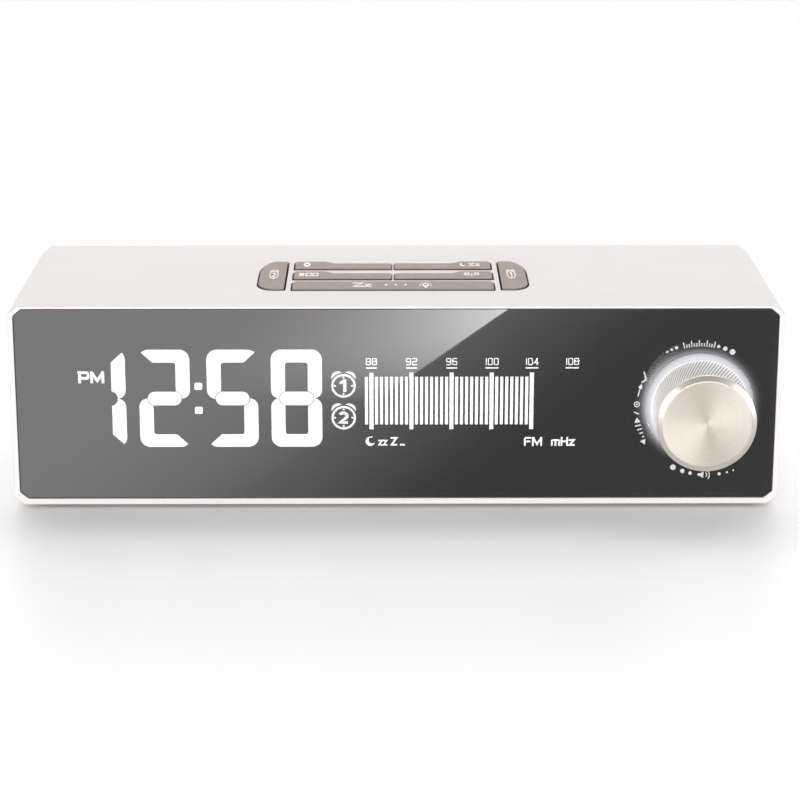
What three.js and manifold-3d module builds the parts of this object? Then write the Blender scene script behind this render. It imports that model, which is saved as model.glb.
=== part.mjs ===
// Clock radio: a white box sleeve with a smoked front lens, an LCD clock and tuning scale behind it,
// a knurled push-and-turn knob with a light ring, and seven push buttons on top.
// Millimetres. +X is right seen from the front, +Y is backwards, +Z is up.
// The origin is the centre of the footprint, on the surface that the feet stand on.
import * as THREE from 'three';
import { mergeVertices, toCreasedNormals } from 'three/addons/utils/BufferGeometryUtils.js';
import Module from 'manifold-3d';

const wasm = await Module();
wasm.setup();

// ---------------------------------------------------------------- driving dimensions

const WIDTH = 215;
const HOUSING_HEIGHT = 57.6;
const HOUSING_DEPTH = 76;
const FOOT_HEIGHT = 1.2;
const KNOB_REACH = 18; // from the front edge of the housing to the knob's face
const GAP = 0.15; // assembly clearance around a seated piece

const WALL_SIDE = 2.6;
const WALL_TOP = 2.3;
const WALL_BOTTOM = 2.7;
const CORNER = { x: 3.0, z: 2.2 }; // chamfer along the housing's four long edges
const LENS_CORNER = { x: 2.3, z: 1.9 };

const FRONT = KNOB_REACH - (HOUSING_DEPTH + KNOB_REACH) / 2;
const BACK = FRONT + HOUSING_DEPTH;
const BASE = FOOT_HEIGHT;
const TOP = BASE + HOUSING_HEIGHT;
const HALF = WIDTH / 2;

const INNER = {
  x0: -HALF + WALL_SIDE,
  x1: HALF - WALL_SIDE,
  z0: BASE + WALL_BOTTOM,
  z1: TOP - WALL_TOP,
};

// Front lens: a thin border of the sleeve shows around it.
const LENS_RECESS = 0.3;
const LENS_THICK = 2;
const LENS = { x0: -HALF + 1.7, x1: HALF - 1.6, z0: BASE + 1.9, z1: TOP - 0.9 };
const LENS_FRONT = FRONT + LENS_RECESS;
const LENS_BACK = LENS_FRONT + LENS_THICK;

// Knob and the encoder behind it.
const KNOB = { x: 84.65, z: 30, radius: 13.66, face: FRONT - KNOB_REACH, chamfer: 1.25 };
const KNOB_REAR = FRONT - 1;
const KNOB_TRAVEL = 0.5;
const LENS_HOLE = 15.1;

// Buttons on top: three rows between two D-shaped end buttons.
const BUTTON_CENTRE = -0.8;
const BUTTON_PROUD = 0.4;
const BUTTON_TOP = TOP + BUTTON_PROUD;
const BUTTON_GAP = 0.3;
const BUTTON_TRAVEL = 0.5;
const ROW_HALF = 28.75; // half length of the rows
const ROW_SPLIT = 0.3; // half of the gap between a row's left and right button
const ROW_Y = { snooze: [-11, -1], lower: [1.6, 11.2], upper: [14, 23.6] };
const TAB_STEP = 2.4; // how much narrower a row is between its end tabs
const TAB_END = 9.1;
const TAB_SLOPE = 2.5;
const END_INNER = 30.8;
const END_OUTER = 38.6;
const END_Y = [-10.6, 23.6];

// Rear cover, boards and power.
const COVER_THICK = 2.4;
const COVER_INSIDE = BACK - COVER_THICK;
const COVER = { x0: -HALF + 1.8, x1: HALF - 1.8, z0: BASE + 1.8, z1: TOP - 1.6 };
const BOARD_THICK = 1.6;
const KEY_BOARD_TOP = 46;
const MAIN_BOARD_Z = 8;
const JACK = { x: -84, z: 15.5 };
const GROMMET = { x: -64, z: 15.5 };
const SPEAKER = { x: 64, z: 30, radius: 20 };
const BATTERY = { x: 66, y: 2, cell: 10, height: 3.2, door: 12 };
const FOOT = { radius: 5, x: 92, front: FRONT + 10, rear: BACK - 10, sunk: 0.8 };
const COVER_SCREWS = [
  [-98.5, 10.4],
  [98.5, 10.4],
  [-98.5, 50],
  [98.5, 50],
];

// ---------------------------------------------------------------- materials

function material(color, roughness, metalness = 0, extra = {}) {
  return new THREE.MeshStandardMaterial({ color, roughness, metalness, ...extra });
}

const WHITE_PLASTIC = material(0xf1efed, 0.42);
const SMOKED_ACRYLIC = material(0x363636, 0.06);
const BUTTON_METALLIC = material(0xa89a92, 0.4, 0.55);
const KNOB_METAL = material(0xd8d0c4, 0.3, 0.9);
const LIGHT_GUIDE = material(0xf4f4ff, 0.5);
const BLACK_PLASTIC = material(0x1c1c1c, 0.6);
const GLASS = material(0x2b2e30, 0.1);
const RUBBER = material(0x2a2a2a, 0.85);
const BOARD_GREEN = material(0x1f6b3a, 0.55);
const STEEL = material(0xb9bcc0, 0.3, 0.9);
const PAPER = material(0x2e2a27, 0.9);

// ---------------------------------------------------------------- solids and booleans

// A closed geometry as a manifold solid, with its faces pointing out.
function solid(geometry) {
  const bare = geometry.index ? geometry.toNonIndexed() : geometry.clone();
  bare.deleteAttribute('normal');
  bare.deleteAttribute('uv');
  const merged = mergeVertices(bare, 1e-4);
  const index = merged.index.array;
  const kept = [];
  for (let i = 0; i < index.length; i += 3) {
    const [a, b, c] = index.slice(i, i + 3);
    if (a !== b && b !== c && c !== a) kept.push(a, b, c);
  }
  const build = (triangles) =>
    new wasm.Manifold(
      new wasm.Mesh({
        numProp: 3,
        vertProperties: new Float32Array(merged.attributes.position.array),
        triVerts: new Uint32Array(triangles),
      }),
    );
  const made = build(kept);
  return made.volume() < 0 ? build(kept.reverse()) : made;
}

function cut(base, ...tools) {
  return tools.reduce((body, tool) => body.subtract(tool), base);
}

function join(base, ...more) {
  return more.reduce((body, piece) => body.add(piece), base);
}

function geometryOf(body) {
  const mesh = body.getMesh();
  const geometry = new THREE.BufferGeometry();
  const positions = new Float32Array(mesh.numVert * 3);
  for (let i = 0; i < mesh.numVert; i += 1) {
    positions.set(mesh.vertProperties.subarray(i * mesh.numProp, i * mesh.numProp + 3), i * 3);
  }
  geometry.setAttribute('position', new THREE.BufferAttribute(positions, 3));
  geometry.setIndex(new THREE.BufferAttribute(new Uint32Array(mesh.triVerts), 1));
  return toCreasedNormals(geometry, Math.PI / 6);
}

function box(x0, x1, y0, y1, z0, z1) {
  const geometry = new THREE.BoxGeometry(x1 - x0, y1 - y0, z1 - z0);
  return solid(geometry.translate((x0 + x1) / 2, (y0 + y1) / 2, (z0 + z1) / 2));
}

function rodAlongY(x, z, radius, y0, y1, sides = 32) {
  const geometry = new THREE.CylinderGeometry(radius, radius, y1 - y0, sides);
  return solid(geometry.translate(x, (y0 + y1) / 2, z));
}

function rodAlongZ(x, y, radius, z0, z1, sides = 32) {
  const geometry = new THREE.CylinderGeometry(radius, radius, z1 - z0, sides);
  return solid(geometry.rotateX(Math.PI / 2).translate(x, y, (z0 + z1) / 2));
}

// An outline in X and Z, carried from y0 to y1.
function prismAlongY(outline, y0, y1) {
  const geometry = new THREE.ExtrudeGeometry(outline, { depth: y1 - y0, bevelEnabled: false });
  return solid(geometry.rotateX(Math.PI / 2).translate(0, y1, 0));
}

// An outline in X and Y, carried from z0 to z1.
function prismAlongZ(outline, z0, z1) {
  const options = { depth: z1 - z0, bevelEnabled: false, curveSegments: 8 };
  return solid(new THREE.ExtrudeGeometry(outline, options).translate(0, 0, z0));
}

// A profile of [radius, y] points turned about the line through (x, z) along Y.
function turnedAlongY(x, z, profile, sides = 48) {
  const points = profile.map(([radius, y]) => new THREE.Vector2(radius, y));
  return solid(new THREE.LatheGeometry(points, sides).translate(x, 0, z));
}

// A rectangle with its four corners cut off.
function chamferedRectangle({ x0, x1, z0, z1 }, corner, grow = 0) {
  const [left, right, low, high] = [x0 - grow, x1 + grow, z0 - grow, z1 + grow];
  const { x: cx, z: cz } = corner;
  const shape = new THREE.Shape();
  shape.moveTo(left + cx, low);
  shape.lineTo(right - cx, low);
  shape.lineTo(right, low + cz);
  shape.lineTo(right, high - cz);
  shape.lineTo(right - cx, high);
  shape.lineTo(left + cx, high);
  shape.lineTo(left, high - cz);
  shape.lineTo(left, low + cz);
  shape.closePath();
  return shape;
}

// ---------------------------------------------------------------- button outlines

// The bar along the front of the cluster.
function snoozeOutline(grow = 0) {
  const [y0, y1] = ROW_Y.snooze;
  const shape = new THREE.Shape();
  const left = BUTTON_CENTRE - ROW_HALF - grow;
  const right = BUTTON_CENTRE + ROW_HALF + grow;
  const round = 1.6;
  shape.moveTo(left, y0 - grow);
  shape.lineTo(right, y0 - grow);
  shape.lineTo(right, y1 + grow - round);
  shape.quadraticCurveTo(right, y1 + grow, right - round, y1 + grow);
  shape.lineTo(left + round, y1 + grow);
  shape.quadraticCurveTo(left, y1 + grow, left, y1 + grow - round);
  shape.closePath();
  return shape;
}

// Half of a row: a tab at its outer end, then a slope down to a narrower strip. side is -1 or 1.
function rowOutline(row, side, grow = 0) {
  const [y0, y1] = ROW_Y[row];
  const at = (distance) => BUTTON_CENTRE + side * distance;
  const outer = ROW_HALF + grow;
  const inner = ROW_SPLIT - grow;
  const round = 1.2;
  const strip = y1 - TAB_STEP + grow;
  const shape = new THREE.Shape();
  shape.moveTo(at(inner), y0 - grow);
  shape.lineTo(at(outer), y0 - grow);
  shape.lineTo(at(outer), y1 + grow - round);
  shape.quadraticCurveTo(at(outer), y1 + grow, at(outer - round), y1 + grow);
  shape.lineTo(at(ROW_HALF - TAB_END + grow / 2 - 2 * grow), y1 + grow);
  shape.lineTo(at(ROW_HALF - TAB_END - TAB_SLOPE - grow), strip);
  shape.lineTo(at(inner), strip);
  shape.closePath();
  return shape;
}

// An end button: straight inside edge, long round corners outside. side is -1 or 1.
function endOutline(side, grow = 0) {
  const [y0, y1] = [END_Y[0] - grow, END_Y[1] + grow];
  const at = (distance) => BUTTON_CENTRE + side * distance;
  const inner = END_INNER - grow;
  const outer = END_OUTER + grow;
  const back = { x: 4.6, y: 15 };
  const front = { x: 4.4, y: 7.5 };
  const bulge = 0.5523; // handle length of a quarter ellipse
  const shape = new THREE.Shape();
  shape.moveTo(at(inner), y0);
  shape.lineTo(at(outer - front.x), y0);
  shape.bezierCurveTo(
    at(outer - front.x * (1 - bulge)), y0,
    at(outer), y0 + front.y * (1 - bulge),
    at(outer), y0 + front.y,
  );
  shape.lineTo(at(outer), y1 - back.y);
  shape.bezierCurveTo(
    at(outer), y1 - back.y * (1 - bulge),
    at(outer - back.x * (1 - bulge)), y1,
    at(outer - back.x), y1,
  );
  shape.lineTo(at(inner), y1);
  shape.closePath();
  return shape;
}

const endMiddle = (END_INNER + END_OUTER) / 2;
const rowMiddle = (ROW_HALF + ROW_SPLIT) / 2;

// Each button: its outline, its switch's place and where its retaining ears stick out.
const BUTTONS = [
  {
    name: 'snooze',
    outline: snoozeOutline,
    at: [BUTTON_CENTRE, -6],
    ears: [
      [-20, -11, -1],
      [20, -11, -1],
    ],
  },
  ...[
    ['set', 'upper', -1],
    ['sleep', 'upper', 1],
    ['memory', 'lower', -1],
    ['band', 'lower', 1],
  ].map(([name, row, side]) => ({
    name,
    outline: (grow) => rowOutline(row, side, grow),
    at: [BUTTON_CENTRE + side * rowMiddle, (ROW_Y[row][0] + ROW_Y[row][1] - TAB_STEP) / 2],
    ears: [
      [side * 8, ROW_Y[row][0], ROW_Y[row][1] - TAB_STEP],
      [side * 24, ROW_Y[row][0], ROW_Y[row][1]],
    ],
  })),
  ...[
    ['alarm_two', -1],
    ['alarm_one', 1],
  ].map(([name, side]) => ({
    name,
    outline: (grow) => endOutline(side, grow),
    at: [BUTTON_CENTRE + side * endMiddle, 6],
    ears: [[side * (END_INNER + 1.6), END_Y[0], END_Y[1]]],
  })),
];

// ---------------------------------------------------------------- housing

function screwPost(x, z) {
  const size = 3.6;
  const length = 16;
  const towardsSide = Math.sign(x) * (HALF - 1);
  const [x0, x1] = [Math.min(x - size * Math.sign(x), towardsSide), Math.max(x - size * Math.sign(x), towardsSide)];
  return cut(
    box(x0, x1, COVER_INSIDE - 0.2 - length, COVER_INSIDE - 0.2, z - size, z + size),
    rodAlongY(x, z, 1.45, COVER_INSIDE - length + 2, BACK, 16),
  );
}

const KEY_POSTS = [
  [-45.5, 8],
  [43.9, 8],
];
const MAIN_POSTS = [
  [-92, -4],
  [20, 20],
];

function housingSleeve() {
  const shell = { x0: -HALF, x1: HALF, z0: BASE, z1: TOP };
  const past = 2;
  let body = cut(
    prismAlongY(chamferedRectangle(shell, CORNER), FRONT, BACK),
    prismAlongY(chamferedRectangle(INNER, LENS_CORNER), FRONT - past, BACK + past),
    prismAlongY(chamferedRectangle(LENS, LENS_CORNER, GAP), FRONT - past, LENS_BACK + GAP),
    prismAlongY(chamferedRectangle(COVER, LENS_CORNER, GAP), COVER_INSIDE - GAP, BACK + past),
  );
  body = join(body, ...COVER_SCREWS.map(([x, z]) => screwPost(x, z)));
  for (const { outline } of BUTTONS) {
    body = cut(body, prismAlongZ(outline(BUTTON_GAP), INNER.z1 - past, TOP + past));
  }
  for (const [x, y] of KEY_POSTS) {
    const post = rodAlongZ(x, y, 3, KEY_BOARD_TOP + 0.1, INNER.z1 + 0.5, 20);
    body = cut(join(body, post), rodAlongZ(x, y, 1.15, KEY_BOARD_TOP - 1, INNER.z1 - 1, 12));
  }
  for (const [x, y] of MAIN_POSTS) {
    const post = rodAlongZ(x, y, 3, INNER.z0 - 0.5, MAIN_BOARD_Z - 0.1, 20);
    body = cut(join(body, post), rodAlongZ(x, y, 1.15, BASE + 1.5, MAIN_BOARD_Z + 1, 12));
  }
  for (const [x, y] of footPlaces()) {
    body = cut(body, rodAlongZ(x, y, FOOT.radius + GAP, BASE - 1, BASE + FOOT.sunk));
  }
  const { x, y, door } = BATTERY;
  const lip = 1.4;
  return cut(
    body,
    box(x - door + lip, x + door - lip, y - door + lip, y + door - lip, BASE - 1, INNER.z0 + 1),
    box(x - door - GAP, x + door + GAP, y - door - GAP, y + door + GAP, BASE - 1, BASE + 1.5),
  );
}

function footPlaces() {
  return [
    [-FOOT.x, FOOT.front],
    [FOOT.x, FOOT.front],
    [-FOOT.x, FOOT.rear],
    [FOOT.x, FOOT.rear],
  ];
}

function foot(x, y) {
  return rodAlongZ(x, y, FOOT.radius, 0, BASE + FOOT.sunk - GAP);
}

function rearCover() {
  const past = 2;
  const slots = [];
  const reach = SPEAKER.radius - 3;
  const slotPitch = 4;
  for (let offset = -4 * slotPitch; offset <= 4 * slotPitch; offset += slotPitch) {
    const half = Math.sqrt(reach ** 2 - offset ** 2) - 0.5;
    const [x, z] = [SPEAKER.x + offset, SPEAKER.z];
    slots.push(box(x - 1, x + 1, COVER_INSIDE - past, BACK + past, z - half, z + half));
  }
  const screwHoles = COVER_SCREWS.flatMap(([x, z]) => [
    rodAlongY(x, z, 1.7, COVER_INSIDE - past, BACK + past, 16),
    rodAlongY(x, z, 3.1, BACK - 1.2, BACK + past, 24),
  ]);
  return cut(
    prismAlongY(chamferedRectangle(COVER, LENS_CORNER), COVER_INSIDE, BACK),
    ...slots,
    ...screwHoles,
    rodAlongY(JACK.x, JACK.z, 5.6, COVER_INSIDE - past, BACK + past),
    rodAlongY(GROMMET.x, GROMMET.z, 2.6, COVER_INSIDE - past, BACK + past, 24),
  );
}

// A pan-head screw with its axis along +Y, head end at the larger y.
function coverScrew(x, z) {
  const recess = 1.5; // across the cross recess
  const head = turnedAlongY(
    x,
    z,
    [
      [0, BACK - 13],
      [0.9, BACK - 12.4],
      [1.3, BACK - 11.6],
      [1.3, BACK - 1.1],
      [2.7, BACK - 1.1],
      [2.7, BACK - 0.6],
      [2.1, BACK - 0.15],
      [0, BACK - 0.15],
    ],
    20,
  );
  return cut(
    head,
    box(x - recess, x + recess, BACK - 0.8, BACK, z - 0.3, z + 0.3),
    box(x - 0.3, x + 0.3, BACK - 0.8, BACK, z - recess, z + recess),
  );
}

// A board screw along Z. The head is at headZ, and the shank points up (way 1) or down (way -1).
function boardScrew(x, y, headZ, way) {
  const shank = 6;
  const [s0, s1] = way > 0 ? [headZ, headZ + shank] : [headZ - shank, headZ];
  const [h0, h1] = way > 0 ? [headZ - 1.4, headZ] : [headZ, headZ + 1.4];
  return join(rodAlongZ(x, y, 1, s0, s1, 12), rodAlongZ(x, y, 2.3, h0, h1, 16));
}

// ---------------------------------------------------------------- front lens and display stack

const LCD = { x0: -92, x1: 55, z0: 13, z1: 51 };
const FRAME_FRONT = LENS_BACK + 0.3;
const LCD_BACK = FRAME_FRONT + 2.3;
const DISPLAY_BOARD_FRONT = LCD_BACK + 4.1;
const RING_FLANGE = 17;

function frontLens() {
  return cut(
    prismAlongY(chamferedRectangle(LENS, LENS_CORNER), LENS_FRONT, LENS_BACK),
    rodAlongY(KNOB.x, KNOB.z, LENS_HOLE, LENS_FRONT - 1, LENS_BACK + 1, 64),
  );
}

function displayFrame() {
  const outline = { x0: INNER.x0 + 0.5, x1: INNER.x1 - 0.5, z0: INNER.z0 + 0.5, z1: INNER.z1 - 0.5 };
  return cut(
    prismAlongY(chamferedRectangle(outline, LENS_CORNER), FRAME_FRONT, LCD_BACK + 1.7),
    box(LCD.x0 - 0.3, LCD.x1 + 0.3, FRAME_FRONT - 1, BACK, LCD.z0 - 0.3, LCD.z1 + 0.3),
    rodAlongY(KNOB.x, KNOB.z, RING_FLANGE + 0.4, FRAME_FRONT - 1, BACK, 48),
  );
}

const lcdGlass = () => box(LCD.x0, LCD.x1, FRAME_FRONT + 0.1, LCD_BACK, LCD.z0, LCD.z1);

const lcdLightGuide = () =>
  box(LCD.x0 + 1, LCD.x1 - 1, LCD_BACK + 0.4, LCD_BACK + 3.4, LCD.z0 + 3.5, LCD.z1 - 3.5);

function zebraStrip(z) {
  return box(LCD.x0 + 4, LCD.x1 - 5, LCD_BACK + 0.1, DISPLAY_BOARD_FRONT - 0.1, z, z + 2);
}

function displayBoard() {
  const plate = box(-98, 102, DISPLAY_BOARD_FRONT, DISPLAY_BOARD_FRONT + BOARD_THICK, 6.5, 53.5);
  const back = DISPLAY_BOARD_FRONT + BOARD_THICK;
  const chips = [
    box(-12, 2, back - 0.2, back + 1.4, 20, 34),
    box(20, 26, back - 0.2, back + 1.2, 16, 21),
    box(30, 52, back - 0.2, back + 3, 8, 12),
  ];
  return join(plate, ...chips);
}

function knobLightRing() {
  return turnedAlongY(
    KNOB.x,
    KNOB.z,
    [
      [6, LENS_FRONT],
      [LENS_HOLE - 0.25, LENS_FRONT],
      [LENS_HOLE - 0.25, LENS_BACK + 0.15],
      [RING_FLANGE, LENS_BACK + 0.15],
      [RING_FLANGE, LENS_BACK + 1.35],
      [6, LENS_BACK + 1.35],
      [6, LENS_FRONT],
    ],
    64,
  );
}

// ---------------------------------------------------------------- encoder and knob

const ENCODER_BACK = DISPLAY_BOARD_FRONT - 0.1;
const ENCODER_FRONT = ENCODER_BACK - 4.9;
const SHAFT = 2.92;
const SHAFT_BORE = 3;
const DOME_FRONT = ENCODER_BACK - 0.45;

function encoderHousing() {
  const size = 6;
  const { x, z } = KNOB;
  return cut(
    join(
      box(x - size, x + size, ENCODER_FRONT, ENCODER_BACK, z - size, z + size),
      rodAlongY(x, z, 3.6, ENCODER_FRONT - 5.2, ENCODER_FRONT + 0.2, 24),
    ),
    rodAlongY(x, z, SHAFT_BORE, ENCODER_FRONT - 6, ENCODER_BACK, 32),
    rodAlongY(x, z, 5.2, ENCODER_FRONT + 0.8, ENCODER_BACK + 1, 32),
  );
}

// The wiper disc, with detent scallops round its rim.
function encoderRotor() {
  const [front, back] = [ENCODER_FRONT + 1.4, ENCODER_FRONT + 2.8];
  const { x, z } = KNOB;
  const scallops = [];
  const count = 12;
  for (let i = 0; i < count; i += 1) {
    const angle = (2 * Math.PI * i) / count;
    const [sx, sz] = [x + 5 * Math.cos(angle), z + 5 * Math.sin(angle)];
    scallops.push(rodAlongY(sx, sz, 0.5, front - 0.5, back + 0.5, 8));
  }
  const bore = rodAlongY(x, z, SHAFT_BORE, front - 0.5, back + 0.5, 32);
  return cut(rodAlongY(x, z, 4.9, front, back, 32), bore, ...scallops);
}

function encoderShaft() {
  const { x, z } = KNOB;
  const [front, back] = [KNOB.face + 3, DOME_FRONT - KNOB_TRAVEL - 0.15];
  const flat = box(x - 4, x + 4, front - 1, front + 9, z + 1.5, z + 4);
  return cut(rodAlongY(x, z, SHAFT, front, back, 32), flat);
}

function encoderDome() {
  return rodAlongY(KNOB.x, KNOB.z, 3.2, DOME_FRONT, DOME_FRONT + 0.3, 24);
}

function knobBody() {
  const { radius, face, chamfer } = KNOB;
  const seat = radius - chamfer;
  const hubBore = 3.1;
  return turnedAlongY(KNOB.x, KNOB.z, [
    [0, face + 0.8],
    [seat, face + 0.8],
    [seat, face + 0.05],
    [radius, face + 0.9],
    [radius, KNOB_REAR - 0.35],
    [radius - 0.35, KNOB_REAR],
    [11.2, KNOB_REAR],
    [11.2, face + 3.6],
    [5.2, face + 3.6],
    [5.2, KNOB_REAR - 2.6],
    [hubBore, KNOB_REAR - 2.6],
    [hubBore, face + 2.8],
    [0, face + 2.8],
  ]);
}

function knobFace() {
  const { x, z, radius, chamfer, face } = KNOB;
  return rodAlongY(x, z, radius - chamfer - 0.1, face, face + 0.75, 48);
}

// ---------------------------------------------------------------- buttons, switches and key board

const EAR_TOP = INNER.z1 - 0.1;
const STEM_BOTTOM = KEY_BOARD_TOP + 5.6;

function button({ outline, at: [x, y], ears }) {
  let cap = prismAlongZ(outline(0), EAR_TOP - 1.4, BUTTON_TOP);
  for (const [offset, y0, y1] of ears) {
    const middle = BUTTON_CENTRE + offset;
    cap = join(cap, box(middle - 1.5, middle + 1.5, y0 - 0.9, y1 + 0.9, EAR_TOP - 1.2, EAR_TOP));
  }
  return join(cap, rodAlongZ(x, y, 1.9, STEM_BOTTOM, EAR_TOP, 16));
}

function tactSwitch({ at: [x, y] }) {
  const half = 3;
  return cut(
    box(x - half, x + half, y - half, y + half, KEY_BOARD_TOP + 0.1, KEY_BOARD_TOP + 3.7),
    rodAlongZ(x, y, 1.9, KEY_BOARD_TOP + 0.8, KEY_BOARD_TOP + 5, 16),
  );
}

function switchPlunger({ at: [x, y] }) {
  const bottom = KEY_BOARD_TOP + 0.9 + BUTTON_TRAVEL + 0.1;
  return rodAlongZ(x, y, 1.65, bottom, STEM_BOTTOM - 0.1, 16);
}

function keyBoard() {
  const plate = box(-50.5, 48.9, -15, 28, KEY_BOARD_TOP - BOARD_THICK, KEY_BOARD_TOP);
  const holes = KEY_POSTS.map(([x, y]) =>
    rodAlongZ(x, y, 1.3, KEY_BOARD_TOP - BOARD_THICK - 1, KEY_BOARD_TOP + 1, 12),
  );
  return cut(plate, ...holes);
}

// ---------------------------------------------------------------- rear pieces and power

// A connector with a round socket and a contact pin, opening backwards.
function dcJack() {
  const { x, z } = JACK;
  const [front, back] = [COVER_INSIDE - 14.5, COVER_INSIDE - 0.6];
  return join(
    cut(
      box(x - 4.5, x + 4.5, front, back, MAIN_BOARD_Z + BOARD_THICK + 0.1, z + 5.4),
      rodAlongY(x, z, 3.1, back - 9.5, back + 1, 24),
    ),
    rodAlongY(x, z, 1, back - 10, back - 1.5, 12),
  );
}

function antennaGrommet() {
  const hole = 2.6;
  return turnedAlongY(
    GROMMET.x,
    GROMMET.z,
    [
      [0.8, COVER_INSIDE - 1.8],
      [hole + 1.2, COVER_INSIDE - 1.8],
      [hole + 1.2, COVER_INSIDE - 0.3],
      [hole - 0.3, COVER_INSIDE - 0.3],
      [hole - 0.3, BACK - 0.1],
      [0.8, BACK - 0.1],
      [0.8, COVER_INSIDE - 1.8],
    ],
    24,
  );
}

function speakerFrame() {
  const { x, z, radius } = SPEAKER;
  const rim = COVER_INSIDE - 0.3;
  return turnedAlongY(x, z, [
    [radius, rim],
    [radius, rim - 1.4],
    [radius - 2, rim - 1.4],
    [10.6, rim - 9.5],
    [10.6, rim - 11],
    [5, rim - 11],
    [5, rim - 10.2],
    [9.6, rim - 10.2],
    [9.6, rim - 9],
    [radius - 3, rim - 1.1],
    [radius - 3, rim],
    [radius, rim],
  ]);
}

function speakerCone() {
  const { x, z, radius } = SPEAKER;
  const rim = COVER_INSIDE - 1;
  return turnedAlongY(x, z, [
    [0, rim - 6.2],
    [3.5, rim - 7],
    [radius - 4.6, rim - 0.6],
    [radius - 3.6, rim - 0.2],
    [radius - 3.6, rim + 0.2],
    [radius - 5, rim - 0.1],
    [3.4, rim - 6.3],
    [2, rim - 5.2],
    [0, rim - 5],
  ]);
}

function speakerMagnet() {
  return rodAlongY(SPEAKER.x, SPEAKER.z, 9, COVER_INSIDE - 17.4, COVER_INSIDE - 11.4, 32);
}

function mainBoard() {
  const [z0, z1] = [MAIN_BOARD_Z, MAIN_BOARD_Z + BOARD_THICK];
  const holes = MAIN_POSTS.map(([x, y]) => rodAlongZ(x, y, 1.3, z0 - 1, z1 + 1, 12));
  const sunk = z1 - 0.2;
  const parts = [
    box(-60, -46, 4, 18, sunk, z1 + 1.8),
    box(-30, -18, -4, 6, sunk, z1 + 1.6),
    box(-6, 4, 10, 18, sunk, z1 + 3.5),
    rodAlongZ(-74, 20, 4, sunk, z1 + 12, 20),
    rodAlongZ(-74, 8, 3.2, sunk, z1 + 8, 20),
    rodAlongZ(-38, 30, 2.5, sunk, z1 + 6, 16),
    box(-20, -8, 26, 30, sunk, z1 + 4),
  ];
  return join(cut(box(-94, 30, -12, 42.5, z0, z1), ...holes), ...parts);
}

function batteryHolder() {
  const { x, y, cell, height } = BATTERY;
  const half = 13.5;
  const floor = INNER.z0 + 0.2;
  return cut(
    box(x - half, x + half, y - half, y + half, floor, floor + height + 3),
    rodAlongZ(x, y, cell + 0.4, floor - 1, floor + height + 1.2),
    box(x - 5, x + 5, y - half - 1, y, floor - 1, floor + 1.5),
  );
}

function backupCell() {
  const { x, y, cell, height } = BATTERY;
  const low = INNER.z0 + 1;
  return rodAlongZ(x, y, cell, low, low + height);
}

function batteryDoor() {
  const { x, y, door } = BATTERY;
  const grip = 1.2;
  return cut(
    box(x - door, x + door, y - door, y + door, BASE + 0.1, BASE + 1.4),
    box(x - 6, x + 6, y + door - 4, y + door - 4 + grip, BASE - 1, BASE + 0.6),
    box(x - 6, x + 6, y + door - 6.5, y + door - 6.5 + grip, BASE - 1, BASE + 0.6),
  );
}

// ---------------------------------------------------------------- assembly

const radio = new THREE.Group();

function add(name, body, look) {
  const mesh = new THREE.Mesh(geometryOf(body), look);
  mesh.name = name;
  radio.add(mesh);
}

add('housing_sleeve', housingSleeve(), WHITE_PLASTIC);
add('rear_cover', rearCover(), WHITE_PLASTIC);
COVER_SCREWS.forEach(([x, z], i) => add(`rear_cover_screw_${i + 1}`, coverScrew(x, z), STEEL));
footPlaces().forEach(([x, y], i) => add(`foot_${i + 1}`, foot(x, y), RUBBER));

add('front_lens', frontLens(), SMOKED_ACRYLIC);
add('display_frame', displayFrame(), BLACK_PLASTIC);
add('lcd_glass', lcdGlass(), GLASS);
add('lcd_light_guide', lcdLightGuide(), LIGHT_GUIDE);
add('zebra_strip_upper', zebraStrip(LCD.z1 - 2.7), RUBBER);
add('zebra_strip_lower', zebraStrip(LCD.z0 + 0.7), RUBBER);
add('display_board', displayBoard(), BOARD_GREEN);

add('knob_light_ring', knobLightRing(), LIGHT_GUIDE);
add('encoder_housing', encoderHousing(), STEEL);
add('encoder_rotor', encoderRotor(), BLACK_PLASTIC);
add('encoder_shaft', encoderShaft(), STEEL);
add('encoder_push_dome', encoderDome(), STEEL);
add('knob_body', knobBody(), KNOB_METAL);
add('knob_face', knobFace(), KNOB_METAL);

add('key_board', keyBoard(), BOARD_GREEN);
KEY_POSTS.forEach(([x, y], i) => {
  add(`key_board_screw_${i + 1}`, boardScrew(x, y, KEY_BOARD_TOP - BOARD_THICK - 0.1, 1), STEEL);
});
for (const item of BUTTONS) {
  add(`${item.name}_button`, button(item), BUTTON_METALLIC);
  add(`${item.name}_switch`, tactSwitch(item), BLACK_PLASTIC);
  add(`${item.name}_switch_plunger`, switchPlunger(item), BLACK_PLASTIC);
}

add('main_board', mainBoard(), BOARD_GREEN);
MAIN_POSTS.forEach(([x, y], i) => {
  add(`main_board_screw_${i + 1}`, boardScrew(x, y, MAIN_BOARD_Z + BOARD_THICK + 0.1, -1), STEEL);
});
add('dc_jack', dcJack(), BLACK_PLASTIC);
add('antenna_grommet', antennaGrommet(), RUBBER);
add('speaker_frame', speakerFrame(), STEEL);
add('speaker_cone', speakerCone(), PAPER);
add('speaker_magnet', speakerMagnet(), STEEL);
add('battery_holder', batteryHolder(), BLACK_PLASTIC);
add('backup_cell', backupCell(), STEEL);
add('battery_door', batteryDoor(), WHITE_PLASTIC);

export default radio;
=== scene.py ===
"""The looks of the clock radio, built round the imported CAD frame.

Lengths are in millimetres, in the CAD's frame, and become metres when a mesh is made.
+X is right seen from the front, the front faces -Y, and +Z is up.
"""

import math

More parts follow.
